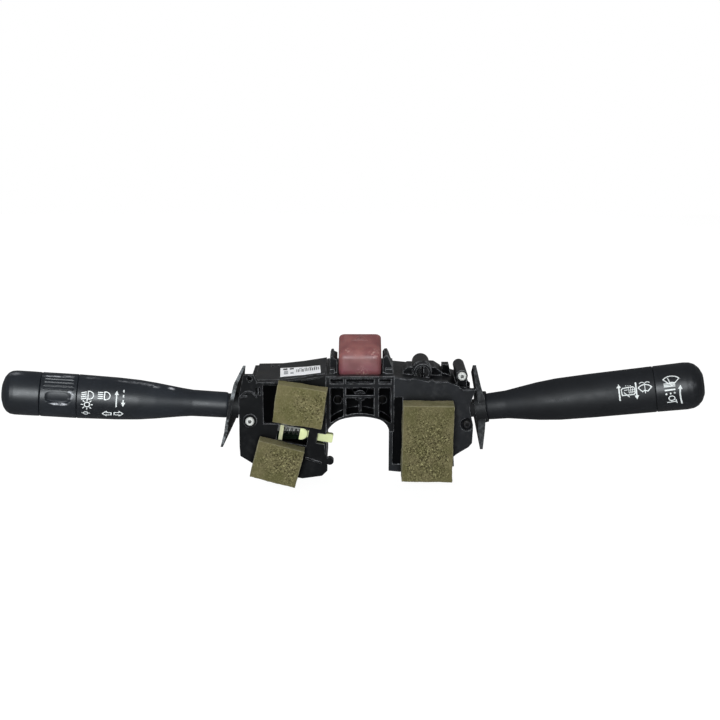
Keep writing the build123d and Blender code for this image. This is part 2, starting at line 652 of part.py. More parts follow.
def make_fin(side):
    """A bent shield across the stalk with a rim at the front, a collar and a hole for the arm."""
    sheet = fin_strip(side, fin_t, fin_back - fin_front, fin_lean[side])
    sheet += fin_strip(side, None, fin_t, 0)
    top, foot = fin_line[side][0][1], fin_line[side][-1][1]
    back = fin_back + 2
    for corner in ([(fin_front, top), (back, top - fin_fall[side]), (back, top + 1), (fin_front, top + 1)],
                   [(fin_front, foot), (back, foot + fin_climb), (back, foot - 1), (fin_front, foot - 1)]):
        outline = [(0, y, z) for y, z in corner]
        sheet -= extrude(make_face(Polyline(*outline, close=True)), amount=side * 100, dir=(1, 0, 0))
    collar = Pos((collar_in[side] + neck[side]) / 2, 0, 0) * Rot(0, 90, 0)
    length = neck[side] - 2 * touch - collar_in[side]
    collar *= Cone(collar_r[side], collar_r[side] - 0.8, length)
    collar_place = along(side) * collar
    slot = Pos(neck[side] / 2, 0, 0) * Box(neck[side] + 20, arm + 2 * touch, arm + 2 * touch)
    return sheet + collar_place - along(side) * slot


# ---- screws and foam ----------------------------------------------------------------------
head_r = 2.7
upper_pad = (-36.8, 28.6, 9.0)         # middle of each pad's face and its tilt in degrees
lower_pad = (-51.2, -8.5, 15.0)
tall_pad = (41.5, 5.5, 0.8)


def screw(x, z, head_r, shank_r, y_head, length):
    """A pan head at y_head with its shank running to the rear and a hexagon socket."""
    body = rod_y(x, z, head_r, y_head - 1.8, y_head)
    body = chamfer(body.edges().filter_by(GeomType.CIRCLE).sort_by(Axis.Y)[0], 0.6)
    body += rod_y(x, z, shank_r, y_head, y_head + length)
    socket = extrude(RegularPolygon(radius=1.2, side_count=6), amount=1.2)
    return body - Pos(x, y_head - 0.6, z) * Rot(90, 0, 0) * socket


def rear_screw(x, z):
    """A tie screw whose head is at the back, below the bridge's rear face."""
    top = ear_y + ear_t
    body = rod_y(x, z, tie_head_r, top, top + 2.2) + rod_y(x, z, tie_r - touch, top - 9, top)
    socket = extrude(RegularPolygon(radius=1.5, side_count=6), amount=1.4)
    return body - Pos(x, top + 2.2, z) * Rot(90, 0, 0) * socket


def make_tie_screws():
    return Compound(children=[rear_screw(side * tie_x, tie_z).solid() for side in (LEFT, RIGHT)])


def pad(place, width, height, thick):
    x, z, tilt = place
    block = bar(-width / 2, width / 2, front_y - thick, front_y, -height / 2, height / 2)
    return Pos(x, 0, z) * Rot(0, tilt, 0) * block


def make_barrel_plug():
    plug = rod_y(barrel_x, barrel_z, barrel_r - 1.5, -9, -2)
    plug -= bar(barrel_x - 0.8, barrel_x + 0.8, -9, -7.4, barrel_z - 5, barrel_z + 5)
    return plug


# ---- writing ------------------------------------------------------------------------------
def nodes():
    made = {
        "bracket": make_bracket(),
        "hazard_button": make_hazard_button(),
        "hazard_slider": make_hazard_slider(),
        "hazard_switch": make_hazard_switch(),
        "hazard_spring": make_hazard_spring(),
        "left_housing": make_left_housing(),
        "left_cover": make_left_cover(),
        "left_lid": make_left_lid(),
        "right_housing": make_right_housing(),
        "right_cover": make_right_cover(),
        "right_barrel_plug": make_barrel_plug(),
        "cancel_pawl": make_pawl(),
        "pawl_spring": make_pawl_spring(),
        "pawl_retainer": make_pawl_retainer(),
        "lighting_ring": make_ring(),
        "left_end_cap": make_cap(),
        "wiper_knob": make_knob(),
        "left_cover_screw": screw(left_screw_x, left_screw_z, head_r, cover_screw_r, front_y - lip_h, 4.6),
        "right_cover_screw": screw(right_screw_x, right_screw_z, head_r, cover_screw_r, front_y + 1.5, 3.6),
        "right_boss_screw": screw(boss_x, boss_z, head_r, cover_screw_r - touch, boss_front, 10),
        "tie_screws": make_tie_screws(),
        "left_foam_upper": pad(upper_pad, left_pad_w, left_pad_h, left_pad_t),
        "left_foam_lower": pad(lower_pad, left_pad_w - 1.5, left_pad_h, left_pad_t),
        "right_foam": pad(tall_pad, right_pad_w, right_pad_h, right_pad_t),
    }
    for side, name in ((LEFT, "left"), (RIGHT, "right")):
        made[name + "_carrier"] = make_carrier(side)
        made[name + "_pivot_pin"] = make_pivot_pin(side)
        made[name + "_detent_leaf"] = make_detent_leaf(side)
        made[name + "_contact_board"] = make_contact_board(side)
        made[name + "_contact_wiper"] = make_contact_wiper(side)
        made[name + "_connector"] = make_connector(side)
        made[name + "_terminals"] = make_terminals(side)
        made[name + "_shaft"] = make_shaft(side)
        made[name + "_handle"] = make_handle(side)
        made[name + "_fin"] = make_fin(side)
    return made


os.makedirs("parts", exist_ok=True)
for name, shape in nodes().items():
    export_step(shape, os.path.join("parts", name + ".step"))
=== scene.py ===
import json
import math

import bmesh
import bpy
import numpy as np
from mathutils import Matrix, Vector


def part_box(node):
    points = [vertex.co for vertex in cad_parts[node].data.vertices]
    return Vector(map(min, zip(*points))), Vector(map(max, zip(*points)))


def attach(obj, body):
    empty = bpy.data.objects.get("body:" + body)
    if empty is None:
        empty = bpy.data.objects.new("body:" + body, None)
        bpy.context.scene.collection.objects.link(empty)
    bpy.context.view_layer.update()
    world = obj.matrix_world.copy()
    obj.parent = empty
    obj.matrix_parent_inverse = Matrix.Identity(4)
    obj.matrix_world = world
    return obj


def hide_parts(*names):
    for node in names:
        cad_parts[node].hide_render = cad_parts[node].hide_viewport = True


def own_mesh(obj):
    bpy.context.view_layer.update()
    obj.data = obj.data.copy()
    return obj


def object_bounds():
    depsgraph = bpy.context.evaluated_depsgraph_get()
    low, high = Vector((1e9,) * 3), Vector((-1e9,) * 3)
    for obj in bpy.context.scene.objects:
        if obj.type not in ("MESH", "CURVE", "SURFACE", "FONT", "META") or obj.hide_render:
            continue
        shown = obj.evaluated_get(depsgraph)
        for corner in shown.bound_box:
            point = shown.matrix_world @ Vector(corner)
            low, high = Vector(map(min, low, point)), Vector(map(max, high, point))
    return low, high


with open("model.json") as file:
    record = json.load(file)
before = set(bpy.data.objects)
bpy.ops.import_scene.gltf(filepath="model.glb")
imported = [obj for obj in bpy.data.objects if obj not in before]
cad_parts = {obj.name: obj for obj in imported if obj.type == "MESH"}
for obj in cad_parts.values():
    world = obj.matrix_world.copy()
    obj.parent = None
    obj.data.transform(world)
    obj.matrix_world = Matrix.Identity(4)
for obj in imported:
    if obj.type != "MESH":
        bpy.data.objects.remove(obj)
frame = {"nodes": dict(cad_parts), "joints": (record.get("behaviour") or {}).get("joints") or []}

MM = 0.001
cad_box = [list(map(float, corner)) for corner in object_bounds()]
nodes = frame["nodes"]

# ---- View, floor and light ----------------------------------------------------------------
# The switch is seen from the driver's seat, fifteen degrees above the column's axis, and hangs
# over a pale floor. One panel in front draws the highlights; the panels above, behind and at
# the right only light it, and gloss doesn't show them.
view_height = math.radians(15.0)
view_distance = 0.70
view_span = 0.4392
view_target = np.array([0.0, -0.022, 0.0556])
sensor_mm = 36.0

sight = np.array([0.0, math.cos(view_height), -math.sin(view_height)])
camera_data = bpy.data.cameras.new("driver_view")
camera_data.sensor_width = sensor_mm
camera_data.sensor_fit = "HORIZONTAL"
camera_data.lens = sensor_mm * view_distance / view_span
camera_data.clip_start, camera_data.clip_end = 0.01, 20.0
camera = bpy.data.objects.new("driver_view", camera_data)
camera.location = view_target - view_distance * sight
camera.rotation_euler = (math.pi / 2 - view_height, 0.0, 0.0)
bpy.context.scene.collection.objects.link(camera)
bpy.context.scene.camera = camera
bpy.context.scene.view_settings.view_transform = "Standard"


def place(obj):
    """Puts an object into the scene."""
    bpy.context.scene.collection.objects.link(obj)
    return obj


def feed(tree, socket, value):
    """Wires a socket to another one, or sets its constant."""
    if isinstance(value, bpy.types.NodeSocket):
        tree.links.new(value, socket)
    else:
        socket.default_value = value


def add_node(tree, kind, inputs, **settings):
    """A new shader node with its settings; inputs, by name or number, are wired or set."""
    node = tree.nodes.new("ShaderNode" + kind)
    for key, value in settings.items():
        setattr(node, key, value)
    for key, value in inputs.items():
        feed(tree, node.inputs[key], value)
    return node


def larger(tree, first, second):
    """The larger of two numbers."""
    return add_node(tree, "Math", {0: first, 1: second}, operation="MAXIMUM").outputs[0]


def product(tree, *shares):
    """The product of sockets, the last of which may be a plain number."""
    total = shares[0]
    for share in shares[1:]:
        total = add_node(tree, "Math", {0: total, 1: share}, operation="MULTIPLY").outputs[0]
    return total


def new_material(name):
    """A new node material; returns it with its shader and its node tree."""
    material = bpy.data.materials.new(name)
    material.use_nodes = True
    return material, material.node_tree.nodes["Principled BSDF"], material.node_tree


def ray_kinds(tree):
    """1 for rays from the eye, also through clear parts; and 1 for rays that left a gloss."""
    path = add_node(tree, "LightPath", {}).outputs
    return larger(tree, path["Is Camera Ray"], path["Is Transmission Ray"]), path["Is Glossy Ray"]


white = (1, 1, 1, 1)
room_level = 0.14          # what gloss finds all round, where no panel stands
floor_glow = 1.18          # the floor's own light to the eye, and its share against its shadow
floor_glow_share = 0.8
floor_half = 1.3
floor_z = cad_box[0][2] - 0.012

floor_mesh = bpy.data.meshes.new("floor")
floor_corners = [(-1, -1), (1, -1), (1, 1), (-1, 1)]
floor_mesh.from_pydata([(x * floor_half, y * floor_half, floor_z) for x, y in floor_corners],
                       [], [(0, 1, 2, 3)])
floor = place(bpy.data.objects.new("floor", floor_mesh))
floor_paint, floor_shader, floor_tree = new_material("pale_floor")
floor_shader.inputs["Base Color"].default_value = (0.86, 0.86, 0.86, 1)
floor_shader.inputs["Roughness"].default_value = 0.7
by_eye, by_gloss = ray_kinds(floor_tree)
glow = add_node(floor_tree, "Emission", {"Color": white, "Strength": floor_glow})
dim_glow = add_node(floor_tree, "Emission", {"Color": white, "Strength": room_level})
seen = add_node(floor_tree, "MixShader", {"Fac": product(floor_tree, by_eye, floor_glow_share),
                                          1: floor_shader.outputs[0], 2: glow.outputs[0]})
either = add_node(floor_tree, "MixShader", {"Fac": by_gloss, 1: seen.outputs[0],
                                            2: dim_glow.outputs[0]})
feed(floor_tree, floor_tree.nodes["Material Output"].inputs["Surface"], either.outputs[0])
floor.data.materials.append(floor_paint)

world = bpy.data.worlds.new("studio")
bpy.context.scene.world = world
world.use_nodes = True
sky = world.node_tree.nodes["Background"]
sky.inputs["Color"].default_value = white
sky_level = add_node(world.node_tree, "MapRange", {"Value": ray_kinds(world.node_tree)[0],
                                                   "To Min": room_level, "To Max": 1.0})
feed(world.node_tree, sky.inputs["Strength"], sky_level.outputs["Result"])


def lamp(name, spot, aim, size, watts, mirrored=False, colour=(1, 1, 1)):
    """A square light panel turned from a spot towards an aim; gloss may show it, or it only
    lights. Its own Z points along spot - aim."""
    data = bpy.data.lights.new(name, "AREA")
    data.size, data.energy, data.color = size, watts, colour
    obj = place(bpy.data.objects.new(name, data))
    obj.visible_glossy = mirrored
    obj.location = spot
    way = np.array(spot) - np.array(aim)
    x, y, z = way / np.linalg.norm(way)
    obj.rotation_euler = (math.acos(z), 0.0, math.atan2(y, x) + math.pi / 2)


lamp("front_panel", (-0.13, -1.15, 0.38), (0, 0, 0.03), 0.50, 11.0, True, (0.92, 0.97, 1.0))
lamp("right_panel", (0.75, -0.85, 0.55), (0, 0, 0.03), 0.5, 1.2)
lamp("rear_panel", (-0.30, 1.30, 0.42), (-0.03, 0, 0.04), 0.9, 3.0)
lamp("top_panel", (-0.1, -0.15, 1.1), (0, 0, 0.02), 0.9, 7.2)


# ---- Bridge, housings and covers ----------------------------------------------------------
# Black glass-filled nylon mouldings, clipped and screwed together round the column's arch.
# The skin is satin with a fine spark-eroded grain; edges are lightened grey, partly by wear and
# partly as painted glints, and dust lies on top. Painted shade darkens corners and recesses, and
# painted shadow the sunk floors beside the pads; the left cover and the middle pieces take
# darker copies of the nylon, painted shade too.
nylon_black = (0.0080, 0.0092, 0.0120, 1)
# A darker copy of the nylon for the left cover: painted shade.
nylon_shaded_cover = (0.0035, 0.0040, 0.0050, 1)
# A darker copy for the bracket and housings: painted shade.
nylon_shaded_middle = (0.0055, 0.0060, 0.0075, 1)
nylon_lid = (0.010, 0.011, 0.013, 1)
rubbed_grey = (0.16, 0.165, 0.17, 1)
# Pale edge colours: partly wear, partly painted glints on lit edges.
edge_grey = (0.36, 0.365, 0.38, 1)
edge_pale = (0.40, 0.405, 0.42, 1)
dust_grey = (0.16, 0.155, 0.14, 1)
# Boxes (two corners, mm) on the sunk floors beside the pads, painted dark: painted shadow.
right_shadow_box = ((20.1, -21.2, -12.1), (26.5, -20.2, 32.1))
left_shadow_box = ((-59.9, -21.2, 14.4), (-50.5, -20.2, 39.6))


def noise_of(tree, coordinates, size_mm, detail, roughness=0.5, seed=0.0):
    """A noise texture whose largest lumps are size_mm across on object coordinates."""
    shift = add_node(tree, "Mapping", {"Vector": coordinates,
                                       "Location": (seed, seed * 0.7, -seed)})
    noise = add_node(tree, "TexNoise", {"Vector": shift.outputs["Vector"], "Detail": detail,
                                        "Scale": 1 / (size_mm * MM), "Roughness": roughness})
    return noise.outputs["Fac"]


def spread(tree, value, low, high, to_low=0.0, to_high=1.0):
    """Value mapped smoothly from low..high to to_low..to_high."""
    limits = {"From Min": low, "From Max": high, "To Min": to_low, "To Max": to_high}
    span = add_node(tree, "MapRange", {"Value": value, **limits}, interpolation_type="SMOOTHSTEP")
    return span.outputs["Result"]


def clouds(tree, spot, size_mm, detail, roughness, seed, low, high):
    """Noise patches: 0 where the noise is under low, 1 where it is over high."""
    return spread(tree, noise_of(tree, spot, size_mm, detail, roughness, seed), low, high)


def blended(tree, share, first, second):
    """Colour first turning into colour second; each is a colour or a socket."""
    colours = {"Factor": share, "A": first, "B": second}
    return add_node(tree, "Mix", colours, data_type="RGBA").outputs["Result"]


def layered(tree, skin, *layers):
    """A colour under layers; each is two shares, which multiply, and its colour."""
    for where, share, colour in layers:
        skin = blended(tree, product(tree, where, share), skin, colour)
    return skin


def edge_share(tree, radius_mm):
    """Where a rounded normal leaves the true one: 0 on flats, 1 on sharp edges. Also gives the
    rounded normal."""
    rounded = add_node(tree, "Bevel", {"Radius": radius_mm * MM}, samples=4).outputs["Normal"]
    true = add_node(tree, "NewGeometry", {}).outputs["Normal"]
    agree = add_node(tree, "VectorMath", {0: rounded, 1: true}, operation="DOT_PRODUCT")
    return spread(tree, agree.outputs["Value"], 0.99, 0.80), rounded


def recess_share(tree, reach_mm):
    """How far the surface round a point shuts it in: 0 in the open, 1 in a deep corner. The
    materials use it to paint shade.
    """
    closed = add_node(tree, "AmbientOcclusion", {"Distance": reach_mm * MM}, samples=6)
    return spread(tree, closed.outputs["AO"], 0.30, 0.90, 1.0, 0.0)


def inside_box(tree, spot, low, high):
    """1 in a box given by two corners in millimetres, 0 outside: max |p - middle| / half < 1."""
    low, high = np.array(low) * MM, np.array(high) * MM
    for operation, value in (("SUBTRACT", (low + high) / 2), ("DIVIDE", (high - low) / 2)):
        moved = add_node(tree, "VectorMath", {0: spot, 1: value}, operation=operation)
        spot = moved.outputs["Vector"]
    away = add_node(tree, "VectorMath", {0: spot}, operation="ABSOLUTE").outputs["Vector"]
    x, y, z = add_node(tree, "SeparateXYZ", {0: away}).outputs
    return spread(tree, larger(tree, larger(tree, x, y), z), 0.98, 1.02, 1.0, 0.0)


def paint(tree, shader, inputs):
    """Wires or sets the shader's own inputs."""
    for key, value in inputs.items():
        feed(tree, shader.inputs[key], value)


def bumped(tree, shader, height, strength, depth_mm, normal=None):
    """Lets a height bump the shader's skin, over a rounded normal where one is given."""
    inputs = {"Strength": strength, "Distance": depth_mm * MM, "Height": height}
    if normal is not None:
        inputs["Normal"] = normal
    feed(tree, shader.inputs["Normal"], add_node(tree, "Bump", inputs).outputs["Normal"])


def moulded_plastic(name, colour, gloss, grain_mm, grain_depth, rub_and_glint=0.5, dust=0.35,
                    edge_mm=0.35, specular=0.5, dirt=dust_grey, pale_edge_colour=rubbed_grey, shut_mm=6.0,
                    shadow_box=None):
    """Moulded plastic: colour cloud, grain in the bump, settled dust, edges lightened partly by
    wear and partly as painted glints, and painted shade in corners and recesses, where the gloss
    is dulled too. The optional box (two corners, millimetres) is darkened the same way: painted
    shadow."""
    material, shader, tree = new_material(name)
    coordinates = add_node(tree, "TexCoord", {}).outputs
    spot = coordinates["Object"]
    deep, painted_recess_shade = (tuple(share * c for c in colour[:3]) + (1,) for share in (0.72, 0.15))
    cloud = clouds(tree, spot, 14.0, 4.0, 0.5, 1.3, 0.35, 0.7)
    # Painted shade: darker and less glossy in corners and recesses.
    recess = recess_share(tree, shut_mm)
    # Painted shadow inside the given box.
    if shadow_box:
        recess = larger(tree, recess, inside_box(tree, spot, *shadow_box))
    skin = blended(tree, recess, blended(tree, cloud, deep, colour), painted_recess_shade)
    edges, rounded = edge_share(tree, edge_mm)
    patchy = clouds(tree, spot, 3.0, 5.0, 0.7, 4.1, 0.36, 0.58)
    up = add_node(tree, "SeparateXYZ", {0: coordinates["Normal"]}).outputs["Z"]
    lying = spread(tree, up, -0.2, 1.0, 0.25, 1.0)
    specks = clouds(tree, spot, 5.0, 8.0, 0.78, 7.7, 0.46, 0.72)
    settled = spread(tree, recess, 0.0, 1.0, dust, 0.1 * dust)
    # Edges: partly wear, partly painted glints; dust on top.
    skin = layered(tree, skin, (product(tree, edges, patchy), rub_and_glint, pale_edge_colour),
                   (product(tree, specks, lying), settled, dirt))
    paint(tree, shader, {
        "Base Color": skin,
        "Roughness": spread(tree, specks, 0.0, 1.0, gloss, min(gloss + 0.22, 0.9)),
        "Specular IOR Level": spread(tree, recess, 0.0, 1.0, specular, 0.15 * specular)})
    bumped(tree, shader, noise_of(tree, spot, grain_mm, 3.0, 0.6), 0.55, grain_depth, rounded)
    return material


def dress(material, *names):
    """Gives CAD nodes a material in their first and only slot."""
    for name in names:
        nodes[name].data.materials.clear()
        nodes[name].data.materials.append(material)


dress(moulded_plastic("black_nylon", nylon_black, 0.34, 0.55, 0.05, rub_and_glint=0.95, dust=0.10,
                      edge_mm=0.45, pale_edge_colour=edge_grey, shadow_box=right_shadow_box), "right_cover")
# The left cover: darker and less glossy, painted shade.
dress(moulded_plastic("black_nylon_shaded_cover", nylon_shaded_cover, 0.34, 0.55, 0.05, rub_and_glint=0.95, dust=0.06,
                      edge_mm=0.45, specular=0.24, pale_edge_colour=edge_grey, shadow_box=left_shadow_box), "left_cover")
dress(moulded_plastic("black_nylon_shaded_middle", nylon_shaded_middle, 0.28, 0.6, 0.05, rub_and_glint=1.0, dust=0.10,
                      edge_mm=0.6, specular=0.36, pale_edge_colour=edge_pale, shut_mm=22.0),
      "bracket", "left_housing", "right_housing")
# The lid's grey edge marks stand partly for glossy streaks: painted reflection besides wear.
dress(moulded_plastic("lid_nylon", nylon_lid, 0.38, 0.6, 0.05, rub_and_glint=0.9, dust=0.22,
                      edge_mm=0.6, pale_edge_colour=(0.30, 0.31, 0.32, 1)), "left_lid")


# ---- Arms, carriers and contacts ----------------------------------------------------------
# Inside the housings: the levers' arms, black over steel, in carriers of natural acetal on ground
# steel pins, with detent leaves. Tinned brass fingers ride on lacquered boards, and the grey
# connectors at the back are soldered to them.
def metal(name, colour, rough, tarnish, bare=1.0):
    """Bare or plated metal: a tarnish cloud, fine scratches in the bump and duller patches, and
    painted shade in its hollows, such as the screws' sockets.
    """
    material, shader, tree = new_material(name)
    spot = add_node(tree, "TexCoord", {}).outputs["Object"]
    cloud = clouds(tree, spot, 4.0, 7.0, 0.7, 2.0, 0.35, 0.68)
    paint(tree, shader, {
        # Painted shade darkens the hollows.
        "Base Color": blended(tree, recess_share(tree, 2.0),
                              blended(tree, cloud, colour, tarnish), (0.02, 0.02, 0.02, 1)),
        "Roughness": spread(tree, cloud, 0, 1, rough, min(rough + 0.2, 0.9)),
        "Metallic": bare})
    bumped(tree, shader, noise_of(tree, spot, 0.5, 4.0, 0.7), 0.4, 0.02, edge_share(tree, 0.15)[1])
    return material


def printed_board():
    """Green laminate with a pattern of copper tracks under the lacquer."""
    material, shader, tree = new_material("contact_board")
    spot = add_node(tree, "TexCoord", {}).outputs["Object"]
    turned = add_node(tree, "Mapping", {"Vector": spot, "Rotation": (math.pi / 2, 0, 0)})
    tracks = add_node(tree, "TexBrick", {"Vector": turned.outputs["Vector"],
                                         "Scale": 1 / (6.0 * MM), "Mortar Size": 0.06})
    lacquer = spread(tree, noise_of(tree, spot, 5.0, 4.0), 0.3, 0.7)
    green = blended(tree, lacquer, (0.004, 0.014, 0.008, 1), (0.006, 0.022, 0.012, 1))
    paint(tree, shader, {
        "Base Color": blended(tree, tracks.outputs["Fac"], green, (0.020, 0.040, 0.022, 1)),
        "Roughness": spread(tree, lacquer, 0, 1, 0.28, 0.4)})
    bumped(tree, shader, tracks.outputs["Fac"], 1.0, 0.03)
    return material


dress(moulded_plastic("arm_black", (0.02, 0.02, 0.022, 1), 0.5, 0.9, 0.06, rub_and_glint=0.6),
      "left_shaft", "right_shaft")
dress(moulded_plastic("natural_acetal", (0.60, 0.60, 0.56, 1), 0.4, 0.8, 0.02, rub_and_glint=0.1, dust=0.2,
                      dirt=(0.25, 0.23, 0.19, 1), shut_mm=1.2),
      "left_carrier", "right_carrier", "hazard_slider")
dress(metal("spring_steel", (0.52, 0.52, 0.51, 1), 0.28, (0.33, 0.31, 0.29, 1)),
      "left_pivot_pin", "right_pivot_pin", "left_detent_leaf", "right_detent_leaf")
dress(metal("tinned_brass", (0.72, 0.55, 0.27, 1), 0.30, (0.48, 0.36, 0.20, 1)),
      "left_contact_wiper", "right_contact_wiper", "left_terminals", "right_terminals")
dress(printed_board(), "left_contact_board", "right_contact_board")
dress(moulded_plastic("connector_grey", (0.045, 0.046, 0.05, 1), 0.45, 0.5, 0.04, dust=0.25),
      "left_connector", "right_connector", "hazard_switch")


# ---- Springs ------------------------------------------------------------------------------
# Coiled music wire with closed ends: one under the hazard button's slider, one behind the pawl.
# Each stands, dark, on the fixed side of its slide.
turn_rows, wire_columns, shut_turns = 30, 12, 0.7
dark_wire = metal("dark_wire", (0.13, 0.13, 0.125, 1), 0.36, (0.05, 0.047, 0.042, 1), 0.6)


def tube_quads(rows, columns):
    """Faces over a grid of points, rows by columns, that closes round its columns."""
    r, c = np.arange(rows - 1)[:, None] * columns, np.arange(columns)[None, :]
    c1 = (c + 1) % columns
    return np.stack([r + c, r + c1, r + columns + c1, r + columns + c], -1).reshape(-1, 4)


def closed_mesh(name, corners, faces, values=None, weld=0.0, smooth=True):
    """An object of corners in millimetres and faces, which are turned outwards. Values gives named
    numbers, one a corner, to its attributes; corners nearer than weld (metres) become one."""
    mesh = bpy.data.meshes.new(name)
    mesh.from_pydata((corners * MM).tolist(), [], faces)
    for key, numbers in (values or {}).items():
        layer = mesh.attributes.new(key, "FLOAT", "POINT")
        layer.data.foreach_set("value", np.ascontiguousarray(numbers, np.float32).reshape(-1))
    shape = bmesh.new()
    shape.from_mesh(mesh)
    if weld:
        bmesh.ops.remove_doubles(shape, verts=shape.verts, dist=weld)
    bmesh.ops.recalc_face_normals(shape, faces=shape.faces)
    shape.to_mesh(mesh)
    shape.free()
    mesh.polygons.foreach_set("use_smooth", np.full(len(mesh.polygons), smooth))
    mesh.update()
    return place(bpy.data.objects.new(name, mesh))


def skin_mesh(name, points, values=None, weld=0.0):
    """A skin over a grid of points (rows, columns, 3), closed round its columns. Its first and
    last rows are filled, unless they lie in one point each, which weld then makes of them."""
    rows, columns = points.shape[:2]
    faces = tube_quads(rows, columns).tolist()
    if not weld:
        faces += [list(range(columns))[::-1], list(range((rows - 1) * columns, rows * columns))]
    return closed_mesh(name, points.reshape(-1, 3), faces, values, weld)


def corners_of(node):
    """All corner points of a CAD node's mesh, in millimetres."""
    mesh = nodes[node].data
    flat = np.empty(3 * len(mesh.vertices), np.float32)
    mesh.vertices.foreach_get("co", flat)
    return flat.reshape(-1, 3).astype(float) / MM


def joint_row(name):
    """The frame's row of a joint."""
    return next(joint for joint in frame["joints"] if joint["name"] == name)


def coil_spring(name, node, joint, turns, wire_r):
    """Wire along middle + z(t) a + R (cos q u + sin q v), q = 2 pi turns t, where a is the
    slide's way and z climbs between closed ends; the wire's section is a circle of wire_r."""
    row = joint_row(joint)
    a = np.array(row["axis"], float)
    corners = corners_of(node)
    rise = corners @ a
    low, high = rise.min(), rise.max()
    middle = corners.mean(0) - corners.mean(0) @ a * a
    reach = np.linalg.norm(corners - middle - rise[:, None] * a, axis=1).max() - 1.3 * wire_r
    u = np.cross(a, [0, 1.0, 0])
    u /= np.linalg.norm(u)
    v = np.cross(a, u)
    t = np.linspace(0, 1, turns * turn_rows)
    q = 2 * math.pi * turns * t[:, None]
    shut = shut_turns / turns
    z = low + wire_r + (high - low - 2 * wire_r) * np.clip((t - shut) / (1 - 2 * shut), 0, 1)
    out = np.cos(q) * u + np.sin(q) * v
    line = middle + z[:, None] * a + reach * out
    along = np.gradient(line, axis=0)
    along /= np.linalg.norm(along, axis=1)[:, None]
    side = np.cross(along, out)
    ring = (2 * math.pi * np.arange(wire_columns) / wire_columns)[None, :, None]
    skin = line[:, None] + wire_r * (np.cos(ring) * out[:, None] + np.sin(ring) * side[:, None])
    spring = skin_mesh(name, skin)
    spring.data.materials.append(dark_wire)
    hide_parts(node)
    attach(spring, "frame")
    travel = max(abs(limit) for limit in row["range_m"]) / MM
    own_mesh(spring)


coil_spring("hazard_coil", "hazard_spring", "hazard_press", 5, 0.3)
coil_spring("pawl_coil", "pawl_spring", "pawl_retract", 5, 0.25)


# ---- Cancelling pawl ----------------------------------------------------------------------
# A yellow-green acetal pawl behind the left cover's window, pushed towards the column by its
# spring, which leans on a cream strip. Both mouldings are greasy and dusted round their edges.
dress(moulded_plastic("pawl_yellow", (0.90, 0.96, 0.50, 1), 0.38, 0.9, 0.03, rub_and_glint=0.1, dust=0.20,
                      edge_mm=0.3, dirt=(0.30, 0.33, 0.12, 1), pale_edge_colour=(0.8, 0.85, 0.5, 1),
                      shut_mm=1.2), "cancel_pawl")
dress(moulded_plastic("cream_strip", (0.70, 0.70, 0.42, 1), 0.4, 0.9, 0.03, rub_and_glint=0.1, dust=0.5,
                      edge_mm=0.3, dirt=(0.24, 0.22, 0.13, 1), pale_edge_colour=(0.85, 0.85, 0.6, 1),
                      shut_mm=1.2), "pawl_retainer")


# ---- Hazard button ------------------------------------------------------------------------
# A hollow cap moulded in dull translucent red, its sloping top marked with a raised triangle.
# It is a rounded rectangle carried upwards and drawn in at the top; years of thumbs have
# matted it and nicked its brow and its foot.
button_low, button_high = (np.array(corner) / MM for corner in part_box("hazard_button"))
button_corner = 3.4
button_brow_r = 4.4
button_peak_rise = 6.6
button_wall = 2.2
button_columns = 96
ink_pitch, ink_sunk = 0.4, 0.02
button_nicks = (((1.5, -16.0, 46.0), 5.5), ((8.5, -14.0, 57.5), 5.0), ((-7.5, -13.0, 60.0), 4.0))


def rounded_rectangle(half_x, half_y, corner, count):
    """Outline points of a rectangle with round corners: corner centres plus corner * (cos, sin),
    the angle dwelling at each corner so that the straight runs join them."""
    angle = 2 * math.pi * (np.arange(count) + 0.5) / count
    x = np.sign(np.cos(angle)) * (half_x - corner) + corner * np.cos(angle)
    y = np.sign(np.sin(angle)) * (half_y - corner) + corner * np.sin(angle)
    return x, y


def button_top(x, y):
    """Height of the sloping top over the skirt's edge: brow + rise (y + half_y) / (2 half_y) +
    crown, with crown = 0.5 (1 - (x / half_x)^2)(1 - (y / half_y)^2)."""
    half_x, half_y = (button_high[:2] - button_low[:2]) / 2
    brow = button_high[2] - button_low[2] - button_peak_rise
    crown = 0.5 * (1 - (x / half_x) ** 2) * (1 - (y / half_y) ** 2)
    return brow + button_peak_rise * (y + half_y) / (2 * half_y) + crown


def make_button():
    """Rows of one outline drawn in: z = share (top - r k) + rise k, and k falls from 1 in front
    to 0.4 behind, so that the brow is rounder than the back edge. Up the wall share grows to 1;
    over the brow inset = r (1 - cos t) and rise = r sin t; over the top only inset grows."""
    half_x, half_y = (button_high[:2] - button_low[:2]) / 2
    middle = np.append((button_high[:2] + button_low[:2]) / 2, button_low[2])
    turn = np.linspace(0, math.pi / 2, 10)[1:]
    over = np.linspace(button_brow_r, half_y - 0.3, 8)[1:]
    inset = np.concatenate([[button_wall, button_wall, 0.35, 0, 0, 0, 0],
                            button_brow_r * (1 - np.cos(turn)), over])
    share = np.concatenate([[0.5, 0, 0, 0.03, 0.35, 0.7], np.ones(1 + len(turn) + len(over))])
    rise = np.concatenate([np.zeros(7), button_brow_r * np.sin(turn),
                           np.full(len(over), button_brow_r)])
    corner = np.minimum(np.maximum(button_corner - 0.75 * inset, 0.8), half_y - inset)
    pull = inset[:, None]
    x, y = rounded_rectangle(half_x - pull, half_y - pull, corner[:, None], button_columns)
    k = 0.7 - 0.3 * np.clip(y / half_y, -1, 1)
    z = share[:, None] * (button_top(x, y) - button_brow_r * k) + rise[:, None] * k
    rows = np.stack([x, y, z], -1)
    foot, peak = (np.repeat([[0, 0, row[:, 2].mean()]], button_columns, 0)
                  for row in (rows[0], rows[-1]))
    return skin_mesh("hazard_cap", np.stack([foot, *rows, peak]) + middle, weld=1e-7)


